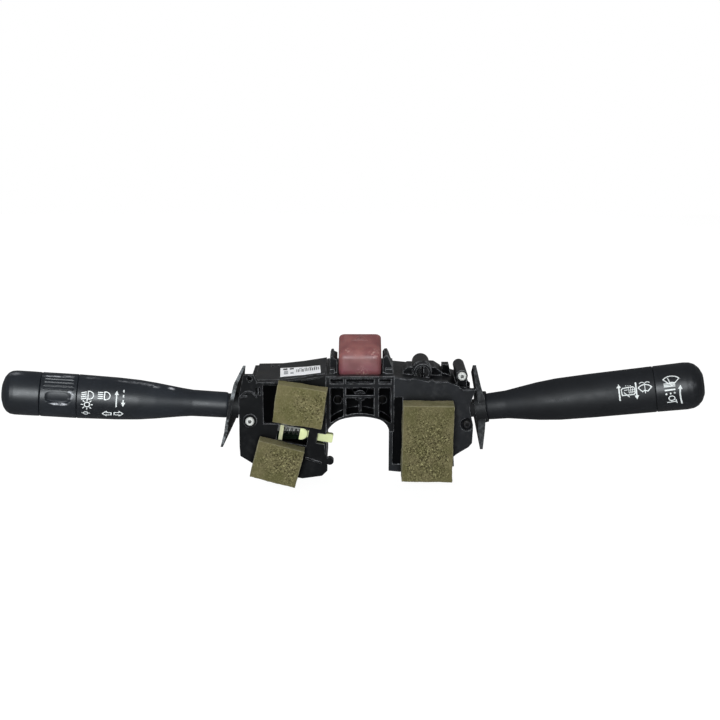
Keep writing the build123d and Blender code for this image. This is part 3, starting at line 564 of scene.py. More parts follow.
def red_translucent():
    """Red acrylic gone matt: darker and more purple towards its foot, cloudy and finely scratched,
    with some depth; its edges are lightened as a painted highlight.
    """
    material, shader, tree = new_material("hazard_red")
    spot = add_node(tree, "TexCoord", {}).outputs["Object"]
    cloud = clouds(tree, spot, 9.0, 5.0, 0.6, 2.2, 0.3, 0.72)
    skin = blended(tree, cloud, (0.168, 0.057, 0.059, 1), (0.250, 0.101, 0.094, 1))
    height = add_node(tree, "SeparateXYZ", {0: spot}).outputs["Z"]
    low_share = spread(tree, height, 0.048, 0.055, 0.6, 0.0)
    scuff_and_glint = clouds(tree, spot, 2.4, 9.0, 0.82, 9.4, 0.58, 0.70)
    # Darker and more purple towards the foot, in clouds.
    layers = [(low_share, cloud, (0.165, 0.030, 0.060, 1)),
              # Pale edges: painted highlight.
              (edge_share(tree, 0.8)[0], 0.55, (0.36, 0.20, 0.19, 1)),
              (scuff_and_glint, 0.6, (0.46, 0.31, 0.27, 1))]
    for where, reach in button_nicks:
        gap = add_node(tree, "VectorMath", {0: spot, 1: np.array(where) * MM},
                       operation="DISTANCE")
        near = spread(tree, gap.outputs["Value"], 0.0, reach * MM, 1.0, 0.0)
        nicks = clouds(tree, spot, 1.3, 6.0, 0.8, 3.0 + reach, 0.52, 0.62)
        layers.append((product(tree, near, nicks), 0.75, (0.62, 0.44, 0.38, 1)))
    paint(tree, shader, {
        "Base Color": layered(tree, skin, *layers),
        "Roughness": spread(tree, cloud, 0, 1, 0.38, 0.52),
        "Subsurface Weight": 0.12, "Subsurface Radius": (0.004, 0.0008, 0.0008),
        "Subsurface Scale": 1.0})
    bumped(tree, shader, noise_of(tree, spot, 0.7, 5.0, 0.7), 0.5, 0.04)
    return material


def run_along(line):
    """Distance from a polyline's first point to each of its points."""
    return np.concatenate([[0], np.cumsum(np.linalg.norm(np.diff(line, axis=0), axis=1))])


def points_at(line, run, stops):
    """Points at some distances along a flat polyline whose own points lie at the distances run."""
    return np.stack([np.interp(stops, run, line[:, k]) for k in (0, 1)], -1)


def printed(name, strokes, surface, high=0.06):
    """Strokes as closed flat ribbons that stand so high. Each stroke is a line in the sign's own
    mm and its width (one, or one a point); surface(x, y, lift) carries it to mm in space."""
    corners, faces, count = [], [], 0
    for line, width in strokes:
        line = np.asarray(line, float)
        closed = bool(np.allclose(line[0], line[-1]))
        run = run_along(line)
        stops = np.unique(np.round(np.concatenate([run, np.arange(0, run[-1], ink_pitch)]), 4))
        spots = points_at(line, run, stops)
        wide = np.interp(stops, run, np.broadcast_to(np.asarray(width, float), len(line)))
        steps = np.diff(spots, axis=0)
        steps /= np.linalg.norm(steps, axis=1)[:, None] + 1e-12
        before = np.vstack([steps[-1:] if closed else steps[:1], steps])
        after = np.vstack([steps, steps[:1] if closed else steps[-1:]])
        mean = before + after
        length = np.linalg.norm(mean, axis=1)[:, None] + 1e-9
        side = np.stack([-mean[:, 1], mean[:, 0]], -1) / length * np.minimum(2 / length, 1.6)
        left, right = spots + side * wide[:, None] / 2, spots - side * wide[:, None] / 2
        sides = ((left, high), (right, high), (right, -ink_sunk), (left, -ink_sunk))
        grid = np.stack([surface(edge[:, 0], edge[:, 1], lift) for edge, lift in sides], 1)
        corners.append(grid.reshape(-1, 3))
        faces += (tube_quads(len(grid), 4) + count).tolist()
        faces.append([count, count + 3, count + 2, count + 1])
        count += 4 * len(grid)
        faces.append(list(range(count - 4, count)))
    return closed_mesh(name, np.vstack(corners), faces, smooth=False)


def on_button(x, y, lift):
    """A surface for printed() on the sloping top, from the middle of the cap."""
    mid_x, mid_y = (button_high[:2] + button_low[:2]) / 2
    return np.stack([mid_x + x, mid_y + y, button_low[2] + button_top(x, y) + lift], -1)


hazard_red = red_translucent()
hazard_cap = make_button()
hazard_cap.data.materials.append(hazard_red)
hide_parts("hazard_button")
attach(hazard_cap, "hazard")

triangle_middle, triangle_half = (0.3, 5.2), (4.2, 3.6)
outer = np.array([(-1, -1), (0, 1), (1, -1), (-1, -1)]) * triangle_half + triangle_middle
inner = (outer - (0.3, 4.2)) * 0.45 + (0.3, 4.3)
warning_sign = printed("hazard_triangle", [(outer, 0.75), (inner, 0.6)], on_button, 0.32)
warning_sign.data.materials.append(hazard_red)
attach(warning_sign, "hazard")


# ---- Dust shields -------------------------------------------------------------------------
# Thin black plastic shields round the stalks, pressed onto their collars, that close the levers'
# windows. Their front rims are scraped pale, the left one's most, and a pale line along their
# edges is a painted highlight.
class Stalk:
    """Points of a stalk by distance along it (mm), turn from the driver's side (rad) and radius.
    The joint at its end gives its line: out runs outwards along it, up is the steepest way at
    right angles to it, and front points to the driver."""

    def __init__(self, joint):
        row = joint_row(joint)
        self.origin = np.array(row["pos_m"]) / MM
        out = np.array(row["axis"]) * np.sign(row["axis"][0] * self.origin[0])
        self.out = out / np.linalg.norm(out)
        up = np.array([0, 0, 1.0]) - self.out[2] * self.out
        self.up = up / np.linalg.norm(up)
        front = np.cross(self.up, self.out)
        self.front = -np.sign(front[1]) * front
        self.hand = np.sign(self.origin[0])

    def point(self, along, turn, radius):
        """origin + along * out + radius * (cos(turn) * front + sin(turn) * up)"""
        ray = np.cos(turn)[..., None] * self.front + np.sin(turn)[..., None] * self.up
        return self.origin + along[..., None] * self.out + radius[..., None] * ray

    def outline(self, node, bore=5.0):
        """Outer stations (along, radius) of a turned CAD node, from its own corner points."""
        corners = corners_of(node) - self.origin
        along = corners @ self.out
        radius = np.linalg.norm(corners - along[:, None] * self.out, axis=1)
        outer = radius > bore
        along, radius = np.round(along[outer], 1), radius[outer]
        return np.array([[stop, np.median(radius[along == stop])] for stop in np.unique(along)])


left_stalk = Stalk("light_ring_turn")
right_stalk = Stalk("wiper_dial_turn")


def worn_glinting_shield(name, stalk, pale_edge_colour, share, seed):
    """Black plastic whose front rim (low in Y) is mottled where it has rubbed; a mottled pale line
    along its edges is a painted highlight. The collar round the stalk, whose distance
    |(p - origin) x out| is under a collar's radius, stays dark."""
    material, shader, tree = new_material(name)
    spot = add_node(tree, "TexCoord", {}).outputs["Object"]
    y = add_node(tree, "SeparateXYZ", {0: spot}).outputs["Y"]
    rim = spread(tree, y, -13.85 * MM, -12.9 * MM, 1.0, 0.0)
    reach = spot
    for operation, value in (("SUBTRACT", stalk.origin * MM), ("CROSS_PRODUCT", stalk.out)):
        reach = add_node(tree, "VectorMath", {0: reach, 1: value}, operation=operation).outputs[0]
    length = add_node(tree, "VectorMath", {0: reach}, operation="LENGTH").outputs["Value"]
    clear = spread(tree, length, 10.6 * MM, 11.6 * MM)
    mottle = clouds(tree, spot, 3.4, 9.0, 0.8, seed, 0.38, 0.66)
    edges, rounded = edge_share(tree, 0.4)
    paint(tree, shader, {
        "Base Color": layered(tree, (0.0075, 0.008, 0.009, 1),
                              (product(tree, rim, mottle, clear), share, pale_edge_colour),
                              # Pale edge line: painted highlight, mottled.
                              (product(tree, edges, mottle), 0.8, (0.40, 0.41, 0.42, 1))),
        "Roughness": spread(tree, mottle, 0, 1, 0.50, 0.70), "Specular IOR Level": 0.3})
    bumped(tree, shader, noise_of(tree, spot, 0.8, 6.0, 0.75, seed=seed), 0.6, 0.08, rounded)
    return material


dress(worn_glinting_shield("left_shield", left_stalk, (0.30, 0.32, 0.33, 1), 0.95, 3.0), "left_fin")
dress(worn_glinting_shield("right_shield", right_stalk, (0.11, 0.115, 0.12, 1), 0.5, 8.0), "right_fin")


# ---- Left stalk: handle, lighting ring and end cap ----------------------------------------
# Fine-grained satin black plastic in three pieces on the steel-cored rod: a waisted handle, a
# ring with grip ribs and a thumb pocket that turns on it, and a domed end cap pushed home.
# Use has polished it, and rings and nails have left pale scuffs on its upper side. The ring's
# top ribs carry painted glints besides wear, and its pocket's lip a painted highlight.
# Lighter and bluer than the right stalk's tone: painted sheen on the same plastic.
left_tone_with_sheen = (0.0115, 0.0145, 0.0195)
skin_pitch, dome_pitch, ring_pitch = 0.9, 0.6, 0.3


def softened(stations, rounds=4):
    """Corner cutting: each span (p, q) gives 3/4 p + 1/4 q and 1/4 p + 3/4 q; the ends stay."""
    line = np.asarray(stations, float)
    for _ in range(rounds):
        first, last = line[:1], line[-1:]
        near, far = 0.75 * line[:-1] + 0.25 * line[1:], 0.25 * line[:-1] + 0.75 * line[1:]
        line = np.vstack([first, np.stack([near, far], 1).reshape(-1, 2), last])
    return line


def respaced(line, pitch):
    """Points every pitch mm at most along a polyline, its own corners kept."""
    run = run_along(line)
    stops = np.unique(np.concatenate([run, np.arange(0, run[-1], pitch)]))
    stops = stops[np.concatenate([[True], np.diff(stops) > 1e-4])]
    return points_at(line, run, stops)


def turned_skin(name, stalk, line, scuffs_and_glints, relief=None, columns=160):
    """A line of (along, radius) turned about the stalk. relief(along, turn) is added to the
    radius; the fourth argument, a function of (along, turn), says how pale wear and painted
    highlights make the skin."""
    turn = 2 * math.pi * np.arange(columns) / columns
    along, turn = np.broadcast_arrays(line[:, :1], turn[None, :])
    radius = np.broadcast_to(line[:, 1:], along.shape).copy()
    if relief:
        radius += relief(along, turn)
    return skin_mesh(name, stalk.point(along, turn, radius), {"scuff_and_glint": scuffs_and_glints(along, turn)})


def hump(t):
    """(1 - t^2)^2 inside -1..1, 0 outside: a smooth rise and fall."""
    return np.clip(1 - t * t, 0, None) ** 2


def eased(t):
    """3 t^2 - 2 t^3 inside 0..1, level outside: a smooth step."""
    t = np.clip(t, 0, 1)
    return t * t * (3 - 2 * t)


def patches(along, turn, *ovals):
    """Soft ovals added up; each is its share, its middle (along, degrees) and its half sizes."""
    total = 0.0
    for share, (u, degrees), (half_u, half_degrees) in ovals:
        swing = (np.degrees(turn) - degrees + 180) % 360 - 180
        total = total + share * hump(np.hypot((along - u) / half_u, swing / half_degrees))
    return total


def grip_plastic(name, tone, seed, matt, gloss):
    """Satin plastic with the finest grain, skin grease in patches, and pale wear and painted
    highlights by attribute.
    """
    material, shader, tree = new_material(name)
    spot = add_node(tree, "TexCoord", {}).outputs["Object"]
    cloud = clouds(tree, spot, 26.0, 4.0, 0.55, seed, 0.33, 0.70)
    skin = blended(tree, cloud, tuple(0.7 * c for c in tone) + (1,), tone + (1,))
    edges, rounded = edge_share(tree, 0.25)
    lint = clouds(tree, spot, 1.6, 9.0, 0.85, seed + 3, 0.615, 0.70)
    # Pale marks from the mesh: wear and painted highlights.
    scuff_glint_share = add_node(tree, "Attribute", {}, attribute_name="scuff_and_glint").outputs["Fac"]
    streaks = clouds(tree, spot, 2.6, 8.0, 0.8, seed + 6, 0.40, 0.60)
    grease = noise_of(tree, spot, 9.0, 6.0, 0.65, seed=seed + 9)
    paint(tree, shader, {
        "Base Color": layered(tree, skin, (edges, 0.35, (0.10, 0.105, 0.115, 1)),
                              (lint, 0.22, (0.20, 0.20, 0.20, 1)),
                              (scuff_glint_share, streaks, (0.50, 0.51, 0.54, 1))),
        "Roughness": spread(tree, grease, 0.3, 0.7, matt, matt + 0.10),
        "Specular IOR Level": gloss, "Sheen Weight": 0.01, "Sheen Tint": (0.6, 0.75, 1.0, 1)})
    bumped(tree, shader, noise_of(tree, spot, 0.32, 2.0, 0.5, seed=seed), 0.35, 0.03, rounded)
    return material


def left_scuffs(along, turn):
    """Scuffs on the handle's upper side: four faint long ones and a bright nick at its waist."""
    ovals = ((0.30, (92.0, 72), (12.0, 9)), (0.62, (84.4, 67), (4.8, 9)),
             (0.24, (122.3, 76), (7.0, 7)), (0.25, (103.0, 73), (7.0, 6)),
             (1.5, (73.8, 71), (2.8, 10)))
    return np.clip(patches(along, turn, *ovals), 0, 1.5)


left_grip = grip_plastic("left_grip_plastic", left_tone_with_sheen, 1.1, 0.36, 0.68)
handle_line = respaced(softened(left_stalk.outline("left_handle")), skin_pitch)
left_handle = turned_skin("left_grip", left_stalk, handle_line, left_scuffs)
left_handle.data.materials.append(left_grip)
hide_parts("left_handle")
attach(left_handle, "left_lever")

cap_line = left_stalk.outline("left_end_cap")
cap_end_u = cap_line[-1, 0]
cap_line = np.vstack([cap_line, [cap_end_u, 0.4]])
end_cap = turned_skin("left_end_dome", left_stalk, respaced(softened(cap_line), dome_pitch),
                      lambda a, t: patches(a, t, (0.3, (cap_end_u - 8, 75), (6, 12))))
end_cap.data.materials.append(left_grip)
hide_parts("left_end_cap")
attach(end_cap, "left_lever")

ring_seam, ring_edge = 0.35, 0.4
ring_from, ring_to = handle_line[-1, 0] + ring_seam, cap_line[0, 0] - ring_seam
ring_mid, ring_r = (ring_from + ring_to) / 2, handle_line[-1, 1]
rib_turns = (71, 61, 51, 41, 31)
rib_high, rib_half, rib_half_u, rib_fade = 0.55, 0.62, 9.4, 1.2
pocket_half_u, pocket_low, pocket_high, pocket_deep = 7.9, -5.0, 27.0, 1.5
lip_turn, lip_high, lip_half = -8.5, 0.9, 5.0
ring_columns = 480


def ring_relief(along, turn):
    """Ribs: hump((turn - rib) r / half); pocket: a rounded box sunk between two turns, deepest
    below; lip: a hump along the pocket's lower edge that bows down in the middle."""
    degrees = (np.degrees(turn) + 180) % 360 - 180
    ends = eased((rib_half_u - np.abs(along - ring_mid)) / rib_fade)
    ribs = sum(hump(np.radians(degrees - at) * ring_r / rib_half) for at in rib_turns)
    u = (along - ring_mid) / pocket_half_u
    v = (degrees - (pocket_low + pocket_high) / 2) / ((pocket_high - pocket_low) / 2)
    pocket = eased((1 - (u ** 4 + v ** 4)) / 0.75) * pocket_deep * (0.52 - 0.48 * v)
    bow = lip_turn + 8.0 * u ** 2 + 2.5 * u
    lip = hump((degrees - bow) / lip_half) * np.clip((0.86 - np.abs(u)) * 4, 0, 1) * lip_high
    return ribs * rib_high * ends - pocket + lip


def ring_wear_and_glints(along, turn):
    """Pale marks: wear on the ring's upper corner, wear and painted glints on its top ribs, a
    painted highlight along the pocket's lip, and a worn curl by the pocket: half an oval ring."""
    ovals = ((0.95, (ring_mid + 4, 72), (9, 5)), (0.8, (ring_mid - 5, 76), (6, 4)),
             (0.9, (ring_to - 3.5, 96), (5.5, 9)),
             # The pocket's lip: painted highlight.
             (2.2, (ring_mid - 0.8, lip_turn + 2.0), (7.0, 4)))
    swing = (np.degrees(turn) + 180) % 360 - 180
    curl = hump((np.hypot((along - ring_from - 4.6) / 2.5, (swing - 17) / 9) - 1) * 2.5)
    return np.clip(patches(along, turn, *ovals) + 0.8 * curl * (along < ring_from + 5.0), 0, 2)


ring_line = [[ring_from, ring_r - ring_edge], [ring_from + ring_edge, ring_r],
             [ring_to - ring_edge, ring_r], [ring_to, ring_r - ring_edge]]
ring = turned_skin("lighting_ring_grip", left_stalk, respaced(np.array(ring_line), ring_pitch),
                   ring_wear_and_glints, ring_relief, ring_columns)
ring.data.materials.append(left_grip)
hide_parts("lighting_ring")
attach(ring, "light_ring")


# ---- Left stalk: printed symbols ----------------------------------------------------------
# Generic signs for the lamps and the lever's ways, pad-printed in white ink on the handle.
# The ink stands a few hundredths of a millimetre proud and is a little rubbed.
ink_width, arrow_width = 0.58, 0.85


def on_stalk(stalk, line, along, turn):
    """A surface for printed(): x runs to the driver's right, y upwards, from (along, degrees)."""
    def surface(x, y, lift):
        u = along + stalk.hand * x
        r = np.interp(u, line[:, 0], line[:, 1])
        return stalk.point(u, math.radians(turn) + y / r, r + lift)
    return surface


def circle(radius, x=0.0, y=0.0, start=0.0, end=360.0, squash=1.0):
    """An arc of points: (x + r cos a, y + squash r sin a)."""
    a = np.radians(np.linspace(start, end, max(int(abs(end - start) / 15), 4) + 1))
    return np.stack([x + radius * np.cos(a), y + squash * radius * np.sin(a)], -1)


def lamp_sign(fall):
    """A D-shaped lamp with four beams on its left that fall away by so many millimetres."""
    back = np.array([(0.4, 2.4), (0.4, -2.4)])
    bowl = np.vstack([back[1:], circle(2.9, 0.8, 0, -80, 80, 0.84), back])
    beams = [([(-0.5, y), (-3.6, y - fall)], 0.62) for y in (1.9, 0.65, -0.6, -1.85)]
    return [(bowl, ink_width)] + beams


def arrow_sign(length, head=2.6, dashes=1):
    """An upright arrow with its head at the top; the shaft may be cut into dashes."""
    top = length / 2
    shaft = np.linspace(-top, top - head, dashes * 2)
    strokes = [([(0, shaft[k]), (0, shaft[k + 1])], arrow_width) for k in range(0, len(shaft), 2)]
    return strokes + [([(0, top - head), (0, top)], (2.7, 0.05))]


def sun_sign():
    """A ring with eight rays."""
    rays = [(np.outer((2.2, 3.6), (math.cos(a), math.sin(a))), ink_width)
            for a in np.radians(np.arange(8) * 45)]
    return [(circle(1.55), 0.6)] + rays


def turn_sign():
    """An outline arrow that points to the left."""
    return [([(-2.8, 0), (-0.4, 2.1), (-0.4, 1.0), (2.5, 1.0), (2.5, -1.0), (-0.4, -1.0),
              (-0.4, -2.1), (-2.8, 0)], ink_width)]


def flipped(strokes, over_x=1, over_y=1):
    """The same strokes mirrored."""
    return [(np.asarray(line, float) * (over_x, over_y), width) for line, width in strokes]


def print_signs(name, signs, stalk, line, body):
    """Prints each (strokes, along, turn) on a stalk's skin, to move with one of its bodies."""
    for number, (strokes, along, turn) in enumerate(signs):
        sign = printed(f"{name}_sign_{number}", strokes, on_stalk(stalk, line, along, turn))
        sign.data.materials.append(ink)
        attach(sign, body)


ink = moulded_plastic("white_ink", (0.84, 0.87, 0.86, 1), 0.6, 0.4, 0.01, rub_and_glint=0.0, dust=0.22,
                      edge_mm=0.05, dirt=(0.30, 0.31, 0.31, 1))
side_lamp = [(circle(1.25, squash=0.9), 0.55), ([(-2.5, 0), (-1.5, 0)], 0.5),
             ([(1.5, 0), (2.5, 0)], 0.5)]
left_signs = [(lamp_sign(0.8), 123.9, 21.0), (lamp_sign(0.0), 114.1, 21.8),
              (arrow_sign(10.2), 106.5, 15.0),
              (flipped(arrow_sign(10.6, dashes=3), over_y=-1), 102.4, 18.0),
              (sun_sign(), 123.9, -4.0), (side_lamp, 124.5, -31.0),
              (turn_sign(), 111.8, -30.4), (flipped(turn_sign(), -1), 105.0, -29.2)]
print_signs("left", left_signs, left_stalk, handle_line, "left_lever")


# ---- Right stalk: handle and wiper knob ---------------------------------------------------
# The same plastic with less wear: a long grip that swells outwards and, beyond a seam, a bulbous
# knob that turns to set how long the wipers dwell.
# The right grip's tone is darker than the left's: painted shade on the same plastic.
right_tone_shaded, knob_tone = (0.0078, 0.0090, 0.0112), (0.0088, 0.0100, 0.0124)
right_line = respaced(softened(right_stalk.outline("right_handle")), skin_pitch)
right_handle = turned_skin("right_grip", right_stalk, right_line,
                           lambda a, t: patches(a, t, (0.05, (80.0, 14), (14, 10))))
right_handle.data.materials.append(grip_plastic("right_grip_plastic", right_tone_shaded, 5.2, 0.50, 0.44))
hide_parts("right_handle")
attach(right_handle, "right_lever")

knob_line = right_stalk.outline("wiper_knob")
knob_line = np.vstack([knob_line, [knob_line[-1, 0], 0.4]])
knob_line = respaced(softened(knob_line), dome_pitch)
# The knob's pale patch sits where the front highlight falls on its dome: painted highlight.
knob = turned_skin("wiper_knob_dome", right_stalk, knob_line,
                   lambda a, t: patches(a, t, (0.10, (159.5, 16), (4, 14))))
knob.data.materials.append(grip_plastic("wiper_knob_plastic", knob_tone, 7.4, 0.38, 0.52))
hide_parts("wiper_knob")
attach(knob, "wiper_dial")


# ---- Right stalk: printed symbols ---------------------------------------------------------
# Signs for the front and rear wipers and washers, and the dwell marks round the knob.
# The same white ink; the knob's own marks turn with it.
def fan_sign(wide, high):
    """The outline of a swept windscreen: a wide arc above a narrow one, joined by its sides."""
    top = circle(wide * 0.62, 0, -wide * 0.25, 143, 37, high / wide)
    foot = circle(wide * 0.30, 0, -wide * 0.42, 50, 130, high / wide)
    return [(np.vstack([top, foot, top[:1]]), ink_width)]


def spray(x, y, reach, rise):
    """Two short arcs of drops that fall either way from a jet."""
    return [(circle(reach, x - reach, y, 20, 150, rise / reach), 0.42),
            (circle(reach, x + reach, y, 160, 30, rise / reach), 0.42)]


def rear_window():
    """A slanted window with a wiper across it and heater lines, and drops above."""
    pane = [(-3.6, -2.1), (-3.9, 1.4), (-3.0, 2.2), (3.2, 2.6), (3.9, 1.8), (4.1, -1.4),
            (3.3, -2.1), (-3.6, -2.1)]
    strokes = [(pane, ink_width), ([(-2.4, -0.4), (0.6, -3.4)], 0.5),
               ([(-2.2, 0.9), (-0.2, 1.0)], 0.4)]
    strokes += [([(x, -1.5), (x - 0.1, 2.2)], 0.3) for x in (0.6, 1.7, 2.8)]
    strokes += [([(0.6, y), (3.7, y + 0.1)], 0.3) for y in (-0.5, 0.8)]
    return strokes + [([(x, 3.6), (x + 0.5, 3.3)], 0.4) for x in (-1.2, 0.1, 1.4)]


def front_washer():
    """A swept windscreen with its jet in the middle and drops above."""
    jet = [([(0, -2.9), (0, 2.6)], 0.42)]
    return fan_sign(8.0, 7.2) + jet + spray(0, 2.5, 1.6, 1.5)


def front_wiper():
    """A swept windscreen with its wiper across it."""
    blade = [([(-2.0, 1.2), (-0.2, -3.4)], 0.5), (circle(0.3, -0.1, -3.5), 0.5)]
    return fan_sign(9.4, 7.6) + blade


def dwell_stack():
    """From the top: fast, slow, three drops of dwell, off and a touch bar."""
    fast = [([(-3.3, y), (3.4, y)], 0.55) for y in (6.9, 6.05, 5.2)]
    slow = [([(-3.0, 3.0), (3.2, 3.2)], 0.9)]
    drops = [(circle(0.28, x, 0.9 + 0.1 * x), 0.5) for x in (-2.3, 0.2, 2.6)]
    off = [(circle(1.75, 0.7, -2.2, squash=0.85), 0.6)]
    touch_bar = [([(-2.2, -5.0), (2.9, -4.6)], 0.6), ([(3.0, -3.2), (3.5, -5.9)], 0.6)]
    return fast + slow + drops + off + touch_bar


def dwell_arrow():
    """A long arrow with its head at the top that leans after the knob's turn."""
    return [([(0.2, -6.0), (-0.4, -2.0), (-0.5, 1.5), (-0.2, 4.0)], arrow_width),
            ([(-0.2, 4.0), (0.2, 6.4)], (2.7, 0.05))]


right_signs = [(arrow_sign(10.2, 2.4), 117.0, 16.7), (rear_window(), 122.2, 17.1),
               (flipped(arrow_sign(10.4, 2.4), over_y=-1), 127.1, 16.9),
               (front_washer(), 132.3, 20.1)]
knob_signs = [(front_wiper(), 148.0, 35.0), (dwell_stack(), 146.6, -2.0),
              (dwell_arrow(), 152.8, -5.5)]
print_signs("right", right_signs, right_stalk, right_line, "right_lever")
print_signs("knob", knob_signs, right_stalk, knob_line, "wiper_dial")


# ---- Screws and barrel plug ---------------------------------------------------------------
# Pan-head screws with hexagon sockets: bright zinc, bloomed white in places, on the left cover
# and the right boss; black, worn to steel on its rims, on the right cover and behind. The plug
# that closes the barrel on the right housing is a black moulding.
dress(metal("bright_zinc", (0.86, 0.87, 0.84, 1), 0.34, (0.66, 0.66, 0.62, 1), 0.5),
      "left_cover_screw", "right_boss_screw")
dress(metal("black_oxide", (0.035, 0.035, 0.04, 1), 0.40, (0.09, 0.085, 0.08, 1)),
      "right_cover_screw", "tie_screws")
# Its edges are lightened grey: partly wear, partly painted glints.
dress(moulded_plastic("barrel_plug", (0.006, 0.006, 0.007, 1), 0.25, 0.7, 0.05, rub_and_glint=1.0,
                      dust=0.1, edge_mm=0.6, pale_edge_colour=(0.40, 0.40, 0.41, 1)), "right_barrel_plug")


# ---- Label on the left lid ----------------------------------------------------------------
# A white paper label stuck over the lid's bend, with plain bars, grey blocks and two dark
# squares that say nothing. Its paper waves a little and has yellowed unevenly.
label_x = (-49.6, -24.2)
label_front, label_back = (-12.0, -14.5), (8.3, 3.0)
label_t, label_skew = 0.18, 0.06
bars_from, bars_to = 10.4, 24.6
snap_x, snap_half = -55.0, 4.0


def lid_top(x):
    """Height of the lid's upper face over x, from the lid's own corners clear of its snap."""
    corners = corners_of("left_lid")
    stops = np.unique(np.round(corners[:, 0], 2))
    tops = np.array([corners[np.abs(corners[:, 0] - stop) < 0.02, 2].max() for stop in stops])
    clear = np.abs(stops - snap_x) > snap_half
    return np.interp(x, stops[clear], tops[clear])


def on_label(x, y, lift):
    """Label millimetres (x from its left edge, y from its front edge) to the lid's upper face."""
    across = label_x[0] + x - label_skew * y
    share = x / (label_x[1] - label_x[0])
    front = label_front[0] + (label_front[1] - label_front[0]) * share
    return np.stack([across, front + y, lid_top(across) + label_t + lift], -1)


def make_label():
    """A sheet over the lid, waved by 0.05 sin(0.9 x + 1) sin(0.5 y), and its underside, joined
    along front and back; the rows at its left and right ends are filled."""
    x = np.linspace(0, label_x[1] - label_x[0], 60)
    deep = np.interp(x, [0, x[-1]], np.subtract(label_back, label_front))
    y = np.linspace(0, 1, 30)[None, :] * deep[:, None]
    x = np.broadcast_to(x[:, None], y.shape)
    over = on_label(x, y, 0.0)
    over[..., 2] += 0.05 * np.sin(x * 0.9 + 1.0) * np.sin(y * 0.5)
    under = over - np.array([0, 0, label_t * 0.9])
    return skin_mesh("lid_label", np.concatenate([over, under[:, ::-1]], 1))


def label_paper():
    """White paper that has greyed in clouds, with grime in specks and a fibrous bump."""
    material, shader, tree = new_material("label_paper")
    spot = add_node(tree, "TexCoord", {}).outputs["Object"]
    aged = clouds(tree, spot, 8.0, 6.0, 0.6, 3.3, 0.35, 0.7)
    skin = blended(tree, aged, (0.93, 0.93, 0.95, 1), (0.84, 0.84, 0.85, 1))
    grime = clouds(tree, spot, 1.5, 8.0, 0.8, 6.1, 0.6, 0.72)
    paint(tree, shader, {
        "Base Color": layered(tree, skin, (grime, 0.35, (0.42, 0.42, 0.42, 1))),
        "Roughness": 0.55})
    bumped(tree, shader, noise_of(tree, spot, 0.5, 5.0, 0.7), 0.3, 0.04)
    return material


def label_ink(name, grey, dust, dirt):
    """Ink of one grey, dulled with dust."""
    return moulded_plastic(name, grey, 0.6, 0.5, 0.01, rub_and_glint=0.0, dust=dust, edge_mm=0.05,
                           dirt=dirt)


label = make_label()
label.data.materials.append(label_paper())
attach(label, "frame")

marks = [([(1.9, 16.5), (4.5, 16.5)], 3.4), ([(6.0, 16.3), (8.6, 16.3)], 3.4)]
bar_rng = np.random.default_rng(11)
bar_x = bars_from
while bar_x < bars_to:
    bar_w = float(bar_rng.uniform(0.30, 0.75))
    marks.append(([(bar_x, 6.6 + 0.05 * bar_x), (bar_x, 13.4 + 0.03 * bar_x)], bar_w))
    bar_x += bar_w + float(bar_rng.uniform(0.45, 0.8))
blocks = [([(3.6, 4.2), (3.6, 12.6)], 2.6), ([(7.4, 4.2), (7.4, 8.0)], 2.0)]
blocks += [([(12.0 + 3.1 * k, 15.4 - 0.12 * k), (13.9 + 3.1 * k, 15.4 - 0.12 * k)], 1.2)
           for k in range(4)]
dark_ink = label_ink("label_ink", (0.035, 0.035, 0.04, 1), 0.2, (0.35, 0.35, 0.35, 1))
grey_ink = label_ink("label_grey_ink", (0.42, 0.43, 0.45, 1), 0.4, (0.62, 0.62, 0.63, 1))
for name, strokes, shade in (("label_bars", marks, dark_ink), ("label_blocks", blocks, grey_ink)):
    label_marks = printed(name, strokes, on_label)
    label_marks.data.materials.append(shade)
    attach(label_marks, "frame")


# ---- Foam pads ----------------------------------------------------------------------------
# Open-cell olive polyurethane foam, sliced into blocks and glued to the covers against rattle.
# The knife leaves torn pores on the faces, coarser in places, and calmer, paler edges. Painted
# shade darkens the pores, and painted highlight lightens the webs between them.
cell_mm, coarse_cell_mm = 0.75, 1.15
foam_step, foam_corner, foam_shrink, glue_gap = 0.26, 0.7, 0.22, 0.02
cell_primes, dice_top = (73856093, 19349663, 83492791), 2147483647
dice_rules = ((48271, 11), (69621, 7), (40692, 3), (39373, 5))


def cell_distance(points, size, seed):
    """Distance, in cells, from each point to the nearest of one random seed per cubic cell, and
    that seed's own random number: the smallest over the 27 cells around the point."""
    grid = points / size
    base = np.floor(grid).astype(np.int64)
    best = np.full(len(points), 9.0)
    own = np.zeros(len(points))
    for step in np.ndindex(3, 3, 3):
        cell = base + np.array(step) - 1
        key = np.bitwise_xor.reduce(cell * cell_primes, axis=1) ^ seed
        dice = [(key * m + a) % dice_top / dice_top for m, a in dice_rules]
        gap = np.linalg.norm(grid - cell - np.stack(dice[:3], -1), axis=1)
        nearer = gap < best
        best = np.where(nearer, gap, best)
        own = np.where(nearer, dice[3], own)
    return best, own


def lumps(points, size, seed):
    """Smooth random heights of about -1..1: cosines along twelve random directions, averaged."""
    rng = np.random.default_rng(seed)
    ways = rng.normal(size=(12, 3))
    ways /= np.linalg.norm(ways, axis=1)[:, None]
    phase = rng.uniform(0, 2 * math.pi, 12)
    return np.cos(points @ ways.T * (2 * math.pi / size) + phase).sum(1) / math.sqrt(12)


